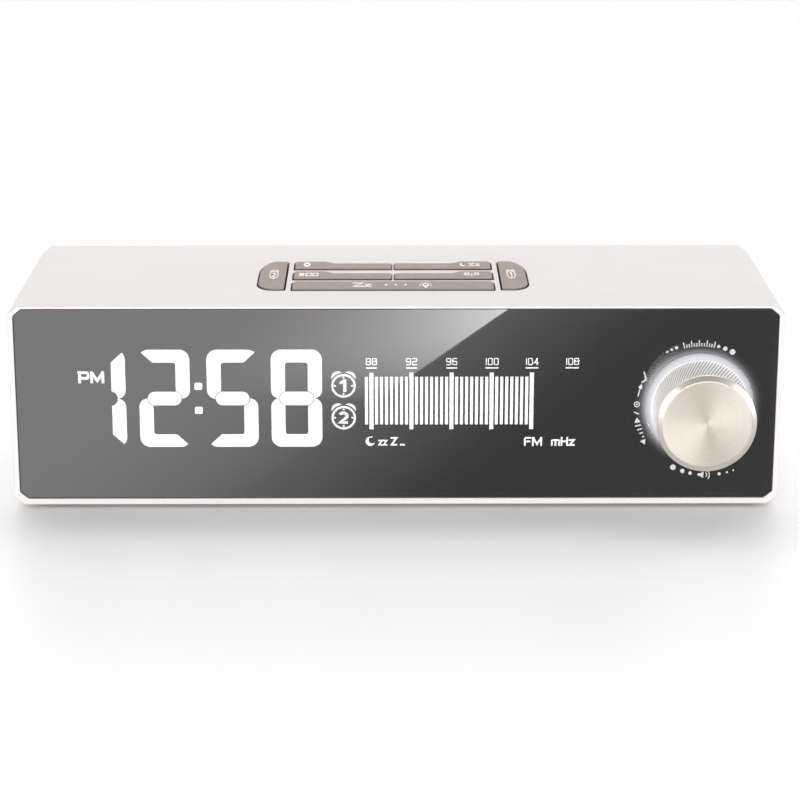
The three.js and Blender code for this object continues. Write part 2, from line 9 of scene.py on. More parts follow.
import bmesh
import bpy
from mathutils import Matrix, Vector


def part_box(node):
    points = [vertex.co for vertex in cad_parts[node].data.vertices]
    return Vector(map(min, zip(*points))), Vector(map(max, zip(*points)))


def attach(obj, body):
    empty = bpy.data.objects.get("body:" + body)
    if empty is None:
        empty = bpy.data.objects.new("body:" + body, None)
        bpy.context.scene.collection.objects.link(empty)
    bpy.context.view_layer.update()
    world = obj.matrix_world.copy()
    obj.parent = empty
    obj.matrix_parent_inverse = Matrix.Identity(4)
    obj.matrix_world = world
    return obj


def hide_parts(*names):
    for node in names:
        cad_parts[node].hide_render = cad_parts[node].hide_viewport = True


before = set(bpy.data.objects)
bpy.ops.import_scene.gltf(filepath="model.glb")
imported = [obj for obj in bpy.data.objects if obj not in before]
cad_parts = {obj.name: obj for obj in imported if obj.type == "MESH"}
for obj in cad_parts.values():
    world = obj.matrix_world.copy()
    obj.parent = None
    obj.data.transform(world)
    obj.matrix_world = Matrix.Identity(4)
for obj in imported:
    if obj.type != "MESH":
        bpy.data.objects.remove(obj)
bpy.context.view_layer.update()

MM = 0.001


def box_mm(node):
    """The lowest and highest corner of a CAD node, in millimetres."""
    low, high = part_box(node)
    return low / MM, high / MM


def middle_mm(node):
    """The middle of a CAD node's box: x, y and z in millimetres."""
    low, high = box_mm(node)
    return (low.x + high.x) / 2, (low.y + high.y) / 2, (low.z + high.z) / 2


# ---------------------------------------------------------------- sizes

CASE_LOW, CASE_HIGH = box_mm("housing_sleeve")
LENS_LOW, LENS_HIGH = box_mm("front_lens")
COVER_LOW, COVER_HIGH = box_mm("rear_cover")
KNOB_LOW, KNOB_HIGH = box_mm("knob_body")
FACE_LOW, FACE_HIGH = box_mm("knob_face")
RING_LOW, RING_HIGH = box_mm("knob_light_ring")
JACK_LOW, JACK_HIGH = box_mm("dc_jack")
GROMMET_LOW, GROMMET_HIGH = box_mm("antenna_grommet")
DOOR_LOW, DOOR_HIGH = box_mm("battery_door")

FRONT, BACK = CASE_LOW.y, CASE_HIGH.y
BASE, TOP = CASE_LOW.z, CASE_HIGH.z
LENS_FRONT, LENS_BACK = LENS_LOW.y, LENS_HIGH.y
COVER_INSIDE = COVER_LOW.y
KNOB_X, _, KNOB_Z = middle_mm("knob_body")
KNOB_RADIUS = (KNOB_HIGH.z - KNOB_LOW.z) / 2

CASE_CORNER = (3.0, 2.2)
LENS_CORNER = (2.3, 1.9)
WALL_SIDE, WALL_TOP, WALL_BOTTOM = 2.6, 2.3, 2.7
SEAT_GAP = 0.15
LENS_HOLE = 15.1
JACK_Z = 15.5  # the height of the socket's bore

BUTTON_CENTRE = -0.8
BUTTON_GAP = 0.3
BUTTON_TOP = box_mm("snooze_button")[1].z
ROW_HALF = 28.75
ROW_SPLIT = 0.3
RIB_HALF = 0.24  # the thin rib of the case between the halves of a row
CAP_INSET = 0.14  # how much smaller the finished caps are than their CAD solids
SIGN_STRETCH = 2.9  # the signs are long from front to back, to be read at a low angle
ROW_Y = {"snooze": (-11.0, -1.0), "lower": (1.6, 11.2), "upper": (14.0, 23.6)}
TAB_STEP, TAB_END, TAB_SLOPE = 2.4, 9.1, 2.5
END_INNER, END_OUTER = 30.8, 38.6
END_Y = (-10.6, 23.6)
BUTTON_NAMES = ("snooze", "set", "sleep", "memory", "band", "alarm_two", "alarm_one")

KNURLS = 98
KNURL_DEPTH = 0.3
KNURL_LEAN = math.tan(math.radians(17))
CROSS_CUT = 0.35  # the depth of the cuts the other way, as a share of the main ones

DRAWN_AT = box_mm("lcd_glass")[0].y  # the drawings lie on the front of the display glass
LINE_HEIGHT = 0.06
DISPLAY_DROP = 0.69  # the drawings lie behind the lens, and are seen from above
PRINT_DROP = 0.55  # the same for the print on the rear of the lens

WHITE_COLOUR = (0.741, 0.711, 0.701)
LENS_SHARE = 0.05  # the share of the light that comes through the smoked lens
GLOW_COLOUR = (0.94, 0.95, 1, 1)
GLOW_CORE, GLOW_SPREAD = 13.2, 1.43  # the radius that glows fully, and how softly the glow ends


# ---------------------------------------------------------------- outlines

def arc(centre, radius, start, stop, steps):
    """Points on a circle, or on an ellipse if radius is a pair, with the angles in degrees."""
    ru, rv = radius if isinstance(radius, tuple) else (radius, radius)
    turns = [math.radians(start + (stop - start) * i / steps) for i in range(steps + 1)]
    return [(centre[0] + ru * math.cos(t), centre[1] + rv * math.sin(t)) for t in turns]


def circle(centre, radius, steps=48):
    return arc(centre, radius, 0, 360, steps)[:-1]


class Outline:
    """A closed outline of corners, each rounded by its own radius, that can be drawn larger or smaller."""

    def __init__(self, corners, radii=0.0, steps=4):
        area = sum(a[0] * b[1] - b[0] * a[1] for a, b in zip(corners, corners[1:] + corners[:1]))
        given = radii if isinstance(radii, list) else [radii] * len(corners)
        if area < 0:
            corners = corners[::-1]
            given = given[::-1]
        self.corners = [Vector(c) for c in corners]
        self.radii = given
        self.steps = steps

    def ring(self, grow=0.0):
        """The outline's points, with each side moved out by grow. Their number is always the same."""
        count = len(self.corners)
        moved = []
        for i, corner in enumerate(self.corners):
            before = (corner - self.corners[i - 1]).normalized()
            after = (self.corners[(i + 1) % count] - corner).normalized()
            out = Vector((before.y, -before.x)), Vector((after.y, -after.x))
            moved.append((corner + grow * (out[0] + out[1]) / (1 + out[0].dot(out[1])), before, after))
        points = []
        for (corner, before, after), radius in zip(moved, self.radii):
            if radius == 0:
                points.append((corner.x, corner.y))
                continue
            turn = math.atan2(before.cross(after), before.dot(after))
            side = 1 if turn > 0 else -1
            radius = max(radius + side * grow, 0.02)
            tangent = radius * math.tan(abs(turn) / 2)
            inward = Vector((-before.y, before.x)) * side
            centre = corner - before * tangent + inward * radius
            start = math.degrees(math.atan2(-inward.y, -inward.x))
            points += arc(centre, radius, start, start + math.degrees(turn), self.steps)
        return points


def rectangle(u0, u1, v0, v1, radii=0.0, steps=4):
    return Outline([(u0, v0), (u1, v0), (u1, v1), (u0, v1)], radii, steps)


def chamfered(low, high, corner, grow=0.0, rounding=0.8):
    """The outline in X and Z of a box whose four long edges are cut off."""
    u0, u1, v0, v1 = low.x - grow, high.x + grow, low.z - grow, high.z + grow
    cu, cv = corner
    corners = [
        (u0 + cu, v0), (u1 - cu, v0), (u1, v0 + cv), (u1, v1 - cv),
        (u1 - cu, v1), (u0 + cu, v1), (u0, v1 - cv), (u0, v0 + cv),
    ]
    return Outline(corners, rounding)


def quarter(radius, steps=4):
    """A rounded edge from a side to a face, as (distance in from the side, depth below the face)."""
    turns = [math.pi / 2 * i / steps for i in range(steps + 1)]
    return [(radius * (1 - math.cos(t)), radius * (1 - math.sin(t))) for t in turns]


# ---------------------------------------------------------------- meshes

def on_top(u, v, level):
    return (u, v, level)


def on_front(u, v, level):
    return (u, level, v)


class Solid:
    """Vertices and faces of a piece while it is being made."""

    def __init__(self):
        self.verts = []
        self.faces = []

    def loft(self, rings, caps=True, closed=False):
        """Joins rings of equally many points, and either closes both ends or joins the last to the first."""
        start = len(self.verts)
        count = len(rings[0])
        for ring in rings:
            self.verts += ring
        pairs = len(rings) if closed else len(rings) - 1
        for r in range(pairs):
            here = start + r * count
            there = start + (r + 1) % len(rings) * count
            for i in range(count):
                j = (i + 1) % count
                self.faces.append((here + i, here + j, there + j, there + i))
        if caps and not closed:
            last = start + (len(rings) - 1) * count
            self.faces.append(tuple(range(start, start + count))[::-1])
            self.faces.append(tuple(range(last, last + count)))
        return self

    def slab(self, outline, low, high, place, edge_low=0.0, edge_high=0.0, steps=4, inset=0.0):
        """A flat body between two levels, with rounded edges where an edge radius is given."""
        levels = [(0.0, low)]
        if edge_low:
            levels = [(-back, low + depth) for back, depth in quarter(edge_low, steps)[::-1]]
        if edge_high:
            levels += [(-back, high - depth) for back, depth in quarter(edge_high, steps)]
        else:
            levels.append((0.0, high))
        rings = [[place(u, v, level) for u, v in outline.ring(grow - inset)] for grow, level in levels]
        return self.loft(rings)

    def turned(self, x, z, profile, sides=64, closed=False):
        """A profile of (radius, y) turned about the line along Y through x and z.

        It starts and ends on the axis, or it closes on itself away from the axis.
        """
        rings = [[(u, y, v) for u, v in circle((x, z), max(radius, 1e-3), sides)] for radius, y in profile]
        return self.loft(rings, closed=closed)

    def turned_up(self, x, y, profile, sides=48):
        """A profile of (radius, z) turned about the upright line through x and y."""
        rings = [[(u, v, z) for u, v in circle((x, y), max(radius, 1e-3), sides)] for radius, z in profile]
        return self.loft(rings)


def new_object(name, solid, scale):
    data = bpy.data.meshes.new(name)
    data.from_pydata([Vector(v) * scale for v in solid.verts], [], solid.faces)
    made = bmesh.new()
    made.from_mesh(data)
    bmesh.ops.remove_doubles(made, verts=made.verts, dist=1e-5 * scale)
    bmesh.ops.recalc_face_normals(made, faces=made.faces)
    made.to_mesh(data)
    made.free()
    obj = bpy.data.objects.new(name, data)
    bpy.context.scene.collection.objects.link(obj)
    return obj


def cut(solid, others):
    """The solid with the others cut out of it."""
    base = new_object("boolean_base", solid, 1)
    for other in others:
        tool = new_object("boolean_tool", other, 1)
        change = base.modifiers.new("change", "BOOLEAN")
        change.operation = "DIFFERENCE"
        change.solver = "EXACT"
        change.object = tool
        graph = bpy.context.evaluated_depsgraph_get()
        result = bpy.data.meshes.new_from_object(base.evaluated_get(graph))
        base.modifiers.clear()
        base.data = result
        bpy.data.objects.remove(tool)
    made = Solid()
    made.verts = [tuple(v.co) for v in base.data.vertices]
    made.faces = [tuple(p.vertices) for p in base.data.polygons]
    bpy.data.objects.remove(base)
    return made


def shade_by_angle(obj, degrees):
    """Smooth shading, except over edges that turn by more than the given angle."""
    made = bmesh.new()
    made.from_mesh(obj.data)
    for face in made.faces:
        face.smooth = True
    for edge in made.edges:
        edge.smooth = len(edge.link_faces) == 2 and edge.calc_face_angle() < math.radians(degrees)
    made.to_mesh(obj.data)
    made.free()
    weighted = obj.modifiers.new("weighted_normal", "WEIGHTED_NORMAL")
    weighted.keep_sharp = True


def piece(name, solid, body, material, replaces=(), sharp=38, second=None, where=None):
    """Makes the finished object, puts it on its CAD body and hides the CAD parts that it stands for.

    A second material goes on the faces for which where(middle in mm, normal) is true.
    """
    obj = new_object(name, solid, MM)
    obj.data.materials.append(material)
    if second:
        obj.data.materials.append(second)
        for face in obj.data.polygons:
            face.material_index = int(where(face.center / MM, face.normal))
    shade_by_angle(obj, sharp)
    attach(obj, body)
    if replaces:
        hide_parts(*replaces)
    return obj


# ---------------------------------------------------------------- flat drawings

def at_angle(u, v, radius, degrees):
    """The point of a circle at an angle."""
    turn = math.radians(degrees)
    return u + radius * math.cos(turn), v + radius * math.sin(turn)


class Drawing:
    """Flat shapes in their own (u, v) plane, which become thin raised plates."""

    def __init__(self):
        self.plates = []
        self.rings = []

    def polygon(self, points):
        self.plates.append(list(points))
        return self

    def disc(self, u, v, radius, steps=24):
        return self.polygon(circle((u, v), radius, steps))

    def ring(self, u, v, outer, inner, steps=40):
        self.rings.append((circle((u, v), outer, steps), circle((u, v), inner, steps)))
        return self

    def stroke(self, points, width, rounding=0.0, cap=True):
        """A line of one width along points. It closes if the last point is the first."""
        closed = points[0] == points[-1]
        path = rounded_path(points, rounding)
        sides = [offset_path(path, width / 2, closed), offset_path(path, -width / 2, closed)]
        if closed:
            self.rings.append((sides[1], sides[0]))
            return self
        left, right = sides
        end = cap_points(path[-2], path[-1], width / 2) if cap else []
        start = cap_points(path[1], path[0], width / 2) if cap else []
        return self.polygon(left + end + right[::-1] + start)

    def bow(self, u, v, radius, start, stop, width, steps=16):
        """A stroke along part of a circle."""
        return self.stroke(arc((u, v), radius, start, stop, steps), width)

    def build(self, place, thickness):
        """A solid, with each shape raised by thickness. place maps (u, v, height) to x, y and z."""
        solid = Solid()
        for points in self.plates:
            solid.loft([[place(u, v, level) for u, v in points] for level in (0, thickness)])
        for outer, inner in self.rings:
            walls = [(outer, 0), (outer, thickness), (inner, thickness), (inner, 0)]
            rings = [[place(u, v, level) for u, v in points] for points, level in walls]
            solid.loft(rings, closed=True)
        return solid


def rounded_path(points, rounding, steps=4):
    """An open or closed path with its inner corners rounded."""
    closed = points[0] == points[-1]
    if rounding == 0:
        return points[:-1] if closed else points
    corners = [Vector(p) for p in (points[:-1] if closed else points)]
    path = []
    for i, corner in enumerate(corners):
        if not closed and i in (0, len(corners) - 1):
            path.append(tuple(corner))
            continue
        before = corner - corners[i - 1]
        after = corners[(i + 1) % len(corners)] - corner
        turn = math.atan2(before.cross(after), before.dot(after))
        tangent = min(rounding * math.tan(abs(turn) / 2), before.length * 0.45, after.length * 0.45)
        start = corner - before.normalized() * tangent
        stop = corner + after.normalized() * tangent
        for k in range(steps + 1):
            t = k / steps
            point = start * (1 - t) ** 2 + corner * 2 * t * (1 - t) + stop * t ** 2
            path.append(tuple(point))
    return path


def offset_path(path, distance, closed):
    """The path moved to its left by distance."""
    count = len(path)
    moved = []
    for i in range(count):
        here = Vector(path[i])
        before = here - Vector(path[i - 1]) if closed or i > 0 else Vector(path[1]) - here
        after = Vector(path[(i + 1) % count]) - here if closed or i < count - 1 else before
        n1 = Vector((-before.y, before.x)).normalized()
        n2 = Vector((-after.y, after.x)).normalized()
        point = here + distance * (n1 + n2) / max(1 + n1.dot(n2), 0.35)
        moved.append((point.x, point.y))
    return moved


def cap_points(before, end, radius, steps=6):
    """The round end of a stroke, from its left side to its right."""
    heading = math.degrees(math.atan2(end[1] - before[1], end[0] - before[0]))
    return arc(end, radius, heading + 90, heading - 90, steps)[1:-1]


# Letter strokes in a cell that is 1 high. The first number is the letter's width.
LETTERS = {
    "0": (0.62, [[(0, 0), (0.62, 0), (0.62, 1), (0, 1), (0, 0)]]),
    "1": (0.12, [[(0.1, 0), (0.1, 1)]]),
    "2": (0.62, [[(0, 1), (0.62, 1), (0.62, 0.52), (0, 0.52), (0, 0), (0.62, 0)]]),
    "4": (0.66, [[(0.46, 0.95), (0, 0.3), (0.66, 0.3)], [(0.46, 1), (0.46, 0)]]),
    "6": (0.62, [[(0.6, 1), (0, 1), (0, 0), (0.62, 0), (0.62, 0.54), (0.05, 0.54)]]),
    "8": (0.62, [[(0, 0), (0.62, 0), (0.62, 1), (0, 1), (0, 0)], [(0.05, 0.52), (0.57, 0.52)]]),
    "9": (0.62, [[(0.57, 0.46), (0, 0.46), (0, 1), (0.62, 1), (0.62, 0), (0.02, 0)]]),
    "F": (0.62, [[(0, 0), (0, 1), (0.62, 1)], [(0.05, 0.5), (0.52, 0.5)]]),
    "H": (0.7, [[(0, 0), (0, 1)], [(0.7, 0), (0.7, 1)], [(0.05, 0.5), (0.65, 0.5)]]),
    "M": (0.95, [[(0, 0), (0, 1)], [(0.95, 0), (0.95, 1)], [(0.06, 0.92), (0.475, 0.12), (0.89, 0.92)]]),
    "P": (0.72, [[(0, 0), (0, 1)], [(0, 1), (0.72, 1), (0.72, 0.4), (0, 0.4)]]),
    "m": (0.9, [[(0, 0), (0, 0.68), (0.9, 0.68), (0.9, 0)], [(0.45, 0), (0.45, 0.62)]]),
    "z": (0.55, [[(0, 0.68), (0.55, 0.68), (0, 0), (0.55, 0)]]),
    "Z": (0.75, [[(0, 1), (0.75, 1), (0, 0), (0.75, 0)]]),
}
SHARP_LETTERS = "4MZz"  # letters whose corners aren't rounded
LETTER_GAP = 0.3


def lengthened(points, reach):
    """The same path with both of its ends moved outward."""
    points = list(points)
    for end, inner in ((0, 1), (-1, -2)):
        (x, y), (a, b) = points[end], points[inner]
        share = reach / math.hypot(x - a, y - b)
        points[end] = (x + (x - a) * share, y + (y - b) * share)
    return points


def write(drawing, text, u, v, height, width, stroke, rounding=0.12):
    """Writes text with its lower left corner at (u, v), as high and as wide in all as given."""
    total = sum(LETTERS[c][0] for c in text) + LETTER_GAP * (len(text) - 1)
    across = (width - stroke) / total
    up = height - stroke
    left = u + stroke / 2
    for char in text:
        advance, paths = LETTERS[char]
        for path in paths:
            points = [(left + x * across, v + stroke / 2 + y * up) for x, y in path]
            if path[0] != path[-1]:
                points = lengthened(points, stroke / 2)
            bend = 0.0 if char in SHARP_LETTERS else rounding * height
            drawing.stroke(points, stroke, bend, cap=False)
        left += (advance + LETTER_GAP) * across


# ---------------------------------------------------------------- pictograms

def draw_alarm(drawing, u, v, size, number):
    """A bell clock round the number 1 or 2. size is the radius of its case."""
    stroke = 0.17 * size
    drawing.ring(u, v, size, size - stroke)
    for angle in (0, 90, 180, 270):
        drawing.disc(*at_angle(u, v, 0.7 * size, angle), 0.08 * size, 12)
    for side in (-1, 1):
        tilt = 90 - side * 34
        dome = arc(at_angle(u, v, 0.83 * size, tilt), 0.53 * size, tilt - 80, tilt + 80, 14)
        drawing.polygon(dome + arc((u, v), 1.13 * size, tilt + 26, tilt - 26, 10))
    tall = 1.06 * size
    thick = 0.24 * size
    if number == 1:
        top = v + tall / 2
        drawing.polygon([
            (u - 0.02 * size, v - tall / 2), (u + thick * 0.95, v - tall / 2),
            (u + thick * 0.95, top), (u - 0.02 * size, top),
            (u - 0.34 * size, top - 0.24 * size), (u - 0.24 * size, top - 0.4 * size),
            (u - 0.02 * size, top - 0.27 * size),
        ])
        return
    half = 0.3 * size
    high = tall / 2 - thick / 2
    curve = arc((u - 0.02 * size, v + high - half * 0.85), (half, half * 0.85), 155, -35, 12)
    path = curve + [(u - half, v - high), (u + half * 1.15, v - high)]
    drawing.stroke(path, thick, cap=False)


def draw_tuning(drawing, u, v, width, height):
    """A row of scale marks, every third one tall."""
    marks = 6
    for i in range(-marks, marks + 1):
        tall = height if i % 3 == 0 else height * 0.55
        x = u + i * width / (2 * marks)
        drawing.stroke([(x, v - height / 2), (x, v - height / 2 + tall)], 0.3, cap=False)


def draw_adjust(drawing, u, v, width, height):
    """An arrow each way, with marks between them that grow."""
    half = height / 2
    for side in (-1, 1):
        tip = u + side * width / 2
        drawing.polygon([(tip, v), (tip - side * 1.5, v + half), (tip - side * 1.5, v - half)])
    marks = 4
    reach = width / 2 - 2.4
    for i in range(marks):
        x = u - reach + 2 * reach * i / (marks - 1)
        tall = height * (0.4 + 0.6 * i / (marks - 1))
        drawing.stroke([(x, v - half), (x, v - half + tall)], 0.36, cap=False)


def draw_confirm(drawing, u, v, width, height):
    """A press mark, an arrow and a tick."""
    half = height / 2
    left, right = u - width / 2, u + width / 2
    drawing.ring(left + half, v, half, half * 0.68, 24)
    drawing.disc(left + half, v, half * 0.34, 14)
    drawing.stroke([(left + 3.2, v), (u + 0.6, v)], 0.34, cap=False)
    drawing.polygon([(u + 1.8, v), (u + 0.5, v + half * 0.75), (u + 0.5, v - half * 0.75)])
    tick = [(right - 3.0, v + 0.05), (right - 1.9, v - half * 0.8), (right - 0.2, v + half * 0.9)]
    drawing.stroke(tick, 0.42)


def draw_speaker(drawing, u, v, size):
    """A loudspeaker with two waves."""
    half = size / 2
    drawing.polygon([
        (u - size, v - half * 0.4), (u - size * 0.65, v - half * 0.4), (u - size * 0.15, v - half),
        (u - size * 0.15, v + half), (u - size * 0.65, v + half * 0.4), (u - size, v + half * 0.4),
    ])
    for reach in (0.45, 0.85):
        drawing.bow(u - size * 0.1, v, size * reach, -42, 42, 0.13 * size, 8)


def draw_moon(drawing, u, v, radius):
    """A crescent that is open to the upper right."""
    outer = arc((u, v), radius, 62, 332, 22)
    inner = arc((u + radius * 0.42, v + radius * 0.3), radius * 0.78, 308, 86, 18)
    drawing.polygon(outer + inner)


def draw_gear(drawing, u, v, radius, teeth=8):
    points = []
    for i in range(teeth):
        middle = 360 * i / teeth
        points += arc((u, v), radius, middle - 9, middle + 9, 2)
        points += arc((u, v), radius * 0.72, middle + 15, middle + 30, 2)
    start = math.degrees(math.atan2(points[0][1] - v, points[0][0] - u))
    hole = arc((u, v), radius * 0.34, start, start + 360, len(points))[:-1]
    drawing.rings.append((points, hole))


def draw_memory(drawing, u, v, width, height):
    """Three places in a row, the first of them filled."""
    cell = width / 3.7
    for i in (-1, 0, 1):
        middle = u + i * 1.35 * cell
        corners = rectangle(middle - cell / 2, middle + cell / 2, v - height / 2, v + height / 2).ring()
        if i == -1:
            drawing.polygon(corners)
        else:
            drawing.stroke(corners + corners[:1], 0.28)


def draw_aerial(drawing, u, v, height):
    """A mast with waves to both sides."""
    half = height / 2
    drawing.disc(u, v + half * 0.2, 0.3, 14)
    drawing.stroke([(u, v + half * 0.2), (u, v - half)], 0.32, cap=False)
    for side in (-1, 1):
        for reach in (1.1, 2.1):
            wave = [
                (u + side * reach * math.cos(t), v + half * (0.2 + 0.8 * math.sin(t)))
                for t in (-0.8, -0.4, 0, 0.4, 0.8)
            ]
            drawing.stroke(wave, 0.34)


def draw_lamp(drawing, u, v, size):
    """A bulb with rays."""
    drawing.ring(u, v, size * 0.52, size * 0.3, 24)
    drawing.polygon([
        (u - size * 0.28, v - size * 0.5), (u + size * 0.28, v - size * 0.5),
        (u + size * 0.2, v - size * 0.95), (u - size * 0.2, v - size * 0.95),
    ])
    for angle in (-20, 20, 55, 90, 125, 160, 200):
        ends = [at_angle(u, v, reach * size, angle) for reach in (0.72, 1.02)]
        drawing.stroke(ends, 0.16 * size, cap=False)


# ---------------------------------------------------------------- materials

class Nodes:
    """Short ways to add nodes to the tree of a material or a world."""

    def __init__(self, tree):
        self.nodes = tree.nodes
        self.links = tree.links

    def put(self, socket, value):
        """Links the value if it is a node's output, and sets it otherwise."""
        if isinstance(value, bpy.types.NodeSocket):
            self.links.new(value, socket)
        else:
            socket.default_value = value

    def feed(self, node, **values):
        """Puts values on the node's inputs, named with _ for a space."""
        for name, value in values.items():
            self.put(node.inputs[name.replace("_", " ")], value)

    def add(self, kind, output, settings=None, **values):
        """Adds a node, changes its settings, feeds its inputs, and returns one of its outputs."""
        node = self.nodes.new(f"ShaderNode{kind}")
        for name, value in (settings or {}).items():
            setattr(node, name, value)
        self.feed(node, **values)
        return node.outputs[output]

    def count(self, operation, *values):
        """A step of arithmetic on outputs and numbers."""
        node = self.nodes.new("ShaderNodeMath")
        node.operation = operation
        for socket, value in zip(node.inputs, values):
            self.put(socket, value)
        return node.outputs["Value"]

    def place(self, space="Object"):
        """The piece's own coordinates, in metres, or those of another space."""
        return self.add("TexCoord", space)

    def axis(self, letter, space="Object"):
        return self.add("SeparateXYZ", letter, Vector=self.place(space))

    def noise(self, scale, detail, rough=0.5):
        """A noise over the piece's own coordinates. scale counts features per metre."""
        return self.add("TexNoise", "Fac", Vector=self.place(), Scale=scale, Detail=detail, Roughness=rough)

    def spread(self, source, low, high, from_low=0.3, from_high=0.7):
        """Maps a range, or the middle range of a texture, to the values low to high."""
        return self.add("MapRange", "Result", Value=source, From_Min=from_low, From_Max=from_high,
                        To_Min=low, To_Max=high)


class Finish(Nodes):
    """A new material with one principled shader."""

    def __init__(self, name, **values):
        self.material = bpy.data.materials.new(name)
        self.material.use_nodes = True
        super().__init__(self.material.node_tree)
        self.shader = self.nodes["Principled BSDF"]
        self.feed(self.shader, **values)

    def colour(self, source, colours):
        """Blends two colours over the middle range of a texture."""
        ramp = self.nodes.new("ShaderNodeValToRGB")
        for stop, position, colour in zip(ramp.color_ramp.elements, (0.3, 0.7), colours):
            stop.position = position
            stop.color = (*colour, 1)
        self.feed(ramp, Fac=source)
        self.feed(self.shader, Base_Color=ramp.outputs["Color"])

    def roughness(self, source, low, high):
        self.feed(self.shader, Roughness=self.spread(source, low, high))

    def glow(self, strength):
        self.feed(self.shader, Emission_Strength=strength)

    def bump(self, height, strength, depth_mm):
        raised = self.add("Bump", "Normal", Height=height, Strength=strength, Distance=depth_mm * MM)
        self.feed(self.shader, Normal=raised)


def shade(colour, factor):
    return tuple(c * factor for c in colour)


def about(colour, variation):
    """A slightly darker and a slightly lighter version of a colour."""
    return shade(colour, 1 - variation), shade(colour, 1 + variation)


def moulded(name, colour, roughness, grain_mm, bump_strength, variation, **values):
    """Moulded plastic or rubber: a fine grain, and a slight drift of colour and gloss."""
    made = Finish(name, **values)
    made.colour(made.noise(45, 3), about(colour, variation))
    made.roughness(made.noise(160, 4), roughness * 0.9, roughness * 1.1)
    made.bump(made.noise(1000 / grain_mm, 2), bump_strength, 0.02)
    return made.material


def white_plastic(name="white_plastic", share=1.0):
    """Matt: it mirrors little, so that its top doesn't vanish in the glare when seen from behind."""
    return moulded(name, shade(WHITE_COLOUR, share), 0.4, 0.25, 0.12, 0.012, IOR=1.1)


def rim_painted_shade():
    """The same plastic a shade darker, for the rim that faces the lights in front: painted shade against
    their light.
    """
    return white_plastic("rim_plastic_painted_shade", 0.82)


def black_plastic():
    return moulded("black_plastic", (0.012, 0.012, 0.013), 0.5, 0.3, 0.3, 0.15)


def rubber():
    return moulded("rubber", (0.02, 0.02, 0.021), 0.78, 0.4, 0.5, 0.15)


def display_glass():
    """The dark display with its faint drift of tint."""
    return moulded("display_glass", (0.008, 0.008, 0.009), 0.2, 0.5, 0.02, 0.1, IOR=1.5)


def pressed_paper():
    return moulded("pressed_paper", (0.03, 0.028, 0.026), 0.9, 0.6, 0.8, 0.2)


def smoked(name, tone, share, low, high):
    """Dark acrylic that lets a share of the light through."""
    made = Finish(name, Base_Color=(*tone, 1), IOR=1.5, Alpha=1 - share)
    made.roughness(made.noise(30, 4), low, high)
    return made.material


def smoked_lens():
    """Polished: only lit marks behind it show through."""
    return smoked("smoked_lens", (0.0055, 0.0053, 0.0053), LENS_SHARE, 0.01, 0.03)


def lens_rear():
    """The lens's inner face, which hardly dims the light further."""
    return smoked("lens_rear", (0.01, 0.01, 0.01), 0.98, 0.05, 0.09)


def button_paint():
    """Silver-brown metallic paint with fine flakes."""
    made = Finish("button_paint", Metallic=0.55, Coat_Weight=0.15, Coat_Roughness=0.25)
    flakes = made.noise(6000, 2, 0.7)
    made.colour(flakes, ((0.172, 0.126, 0.10), (0.222, 0.164, 0.135)))
    made.roughness(made.noise(400, 3), 0.36, 0.44)
    made.bump(flakes, 0.15, 0.01)
    return made.material


def radius_about_knob(made, drop=0.0):
    """The distance of a point from the knob's axis, or from a line below it, in metres."""
    shifted = made.add("Mapping", "Vector", Vector=made.place(), Scale=(1, 0, 1),
                       Location=(-KNOB_X * MM, 0, (drop - KNOB_Z) * MM))
    return made.add("VectorMath", "Value", {"operation": "LENGTH"}, Vector=shifted)


def spun_aluminium():
    """Champagne aluminium, turned in fine circles round the knob's axis."""
    made = Finish("spun_aluminium", Metallic=1.0, Anisotropic=0.6)
    circles = made.add("Tangent", "Tangent", {"direction_type": "RADIAL", "axis": "Y"})
    made.feed(made.shader, Tangent=circles)
    fine = made.add("TexNoise", "Fac", {"noise_dimensions": "1D"}, W=radius_about_knob(made),
                    Scale=9000, Detail=3)
    made.colour(fine, ((0.43, 0.40, 0.352), (0.46, 0.428, 0.377)))
    made.roughness(fine, 0.27, 0.36)
    made.bump(fine, 0.12, 0.004)
    return made.material


def metal(name, colour, roughness, scale, variation):
    """Bare or plated metal with a fine grain."""
    made = Finish(name, Metallic=1.0)
    grain = made.noise(scale, 4, 0.6)
    made.colour(grain, about(colour, variation))
    made.roughness(grain, roughness * 0.85, roughness * 1.2)
    made.bump(grain, 0.08, 0.004)
    return made.material


def polished_chamfer():
    return metal("polished_chamfer", (0.56, 0.528, 0.478), 0.36, 4000, 0.03)


def steel():
    return metal("zinc_plated_steel", (0.62, 0.63, 0.64), 0.32, 900, 0.06)


def knurled_aluminium():
    """Bright knurled aluminium with painted shade in its grooves, and a painted glow of the ring's light on
    it towards the rear.
    """
    made = Finish("knurled_aluminium", Metallic=0.4, Emission_Color=GLOW_COLOUR)
    groove, crest = (KNOB_RADIUS - 0.26) * MM, (KNOB_RADIUS - 0.1) * MM
    ridge = made.spread(radius_about_knob(made), 0.0, 1.0, groove, crest)
    # Dark colour in the grooves and bright on the crests: painted shade in the hollows of the knurl.
    colour = made.add("Mix", "Result", {"data_type": "RGBA"}, Factor=ridge,
                      A=(0.36, 0.34, 0.32, 1), B=(0.92, 0.90, 0.87, 1))
    made.feed(made.shader, Base_Color=colour)
    made.roughness(made.noise(900, 4, 0.6), 0.3, 0.42)
    # The knob itself glows, more towards the rear and on the crests: painted light from the ring.
    painted_ring_glow = made.spread(made.axis("Y"), 0.0, 0.3, (KNOB_LOW.y + 5) * MM, KNOB_HIGH.y * MM)
    made.glow(made.count("MULTIPLY", painted_ring_glow, ridge))
    return made.material


def glowing(name, colour, strength, base=(0.9, 0.9, 0.9), ripple=0.04, scale=700):
    """A lit surface whose light varies a little from place to place."""
    made = Finish(name, Base_Color=(*base, 1), Roughness=0.5, Emission_Color=(*colour, 1))
    made.glow(made.spread(made.noise(scale, 2), strength * (1 - ripple), strength * (1 + ripple)))
    return made.material


def printed_ink(name, colour, strength):
    """Screen-printed white that glows a little unevenly. On the buttons, with no light behind the print,
    this glow is painted light.
    """
    return glowing(name, colour, strength, base=colour, ripple=0.08, scale=2500)


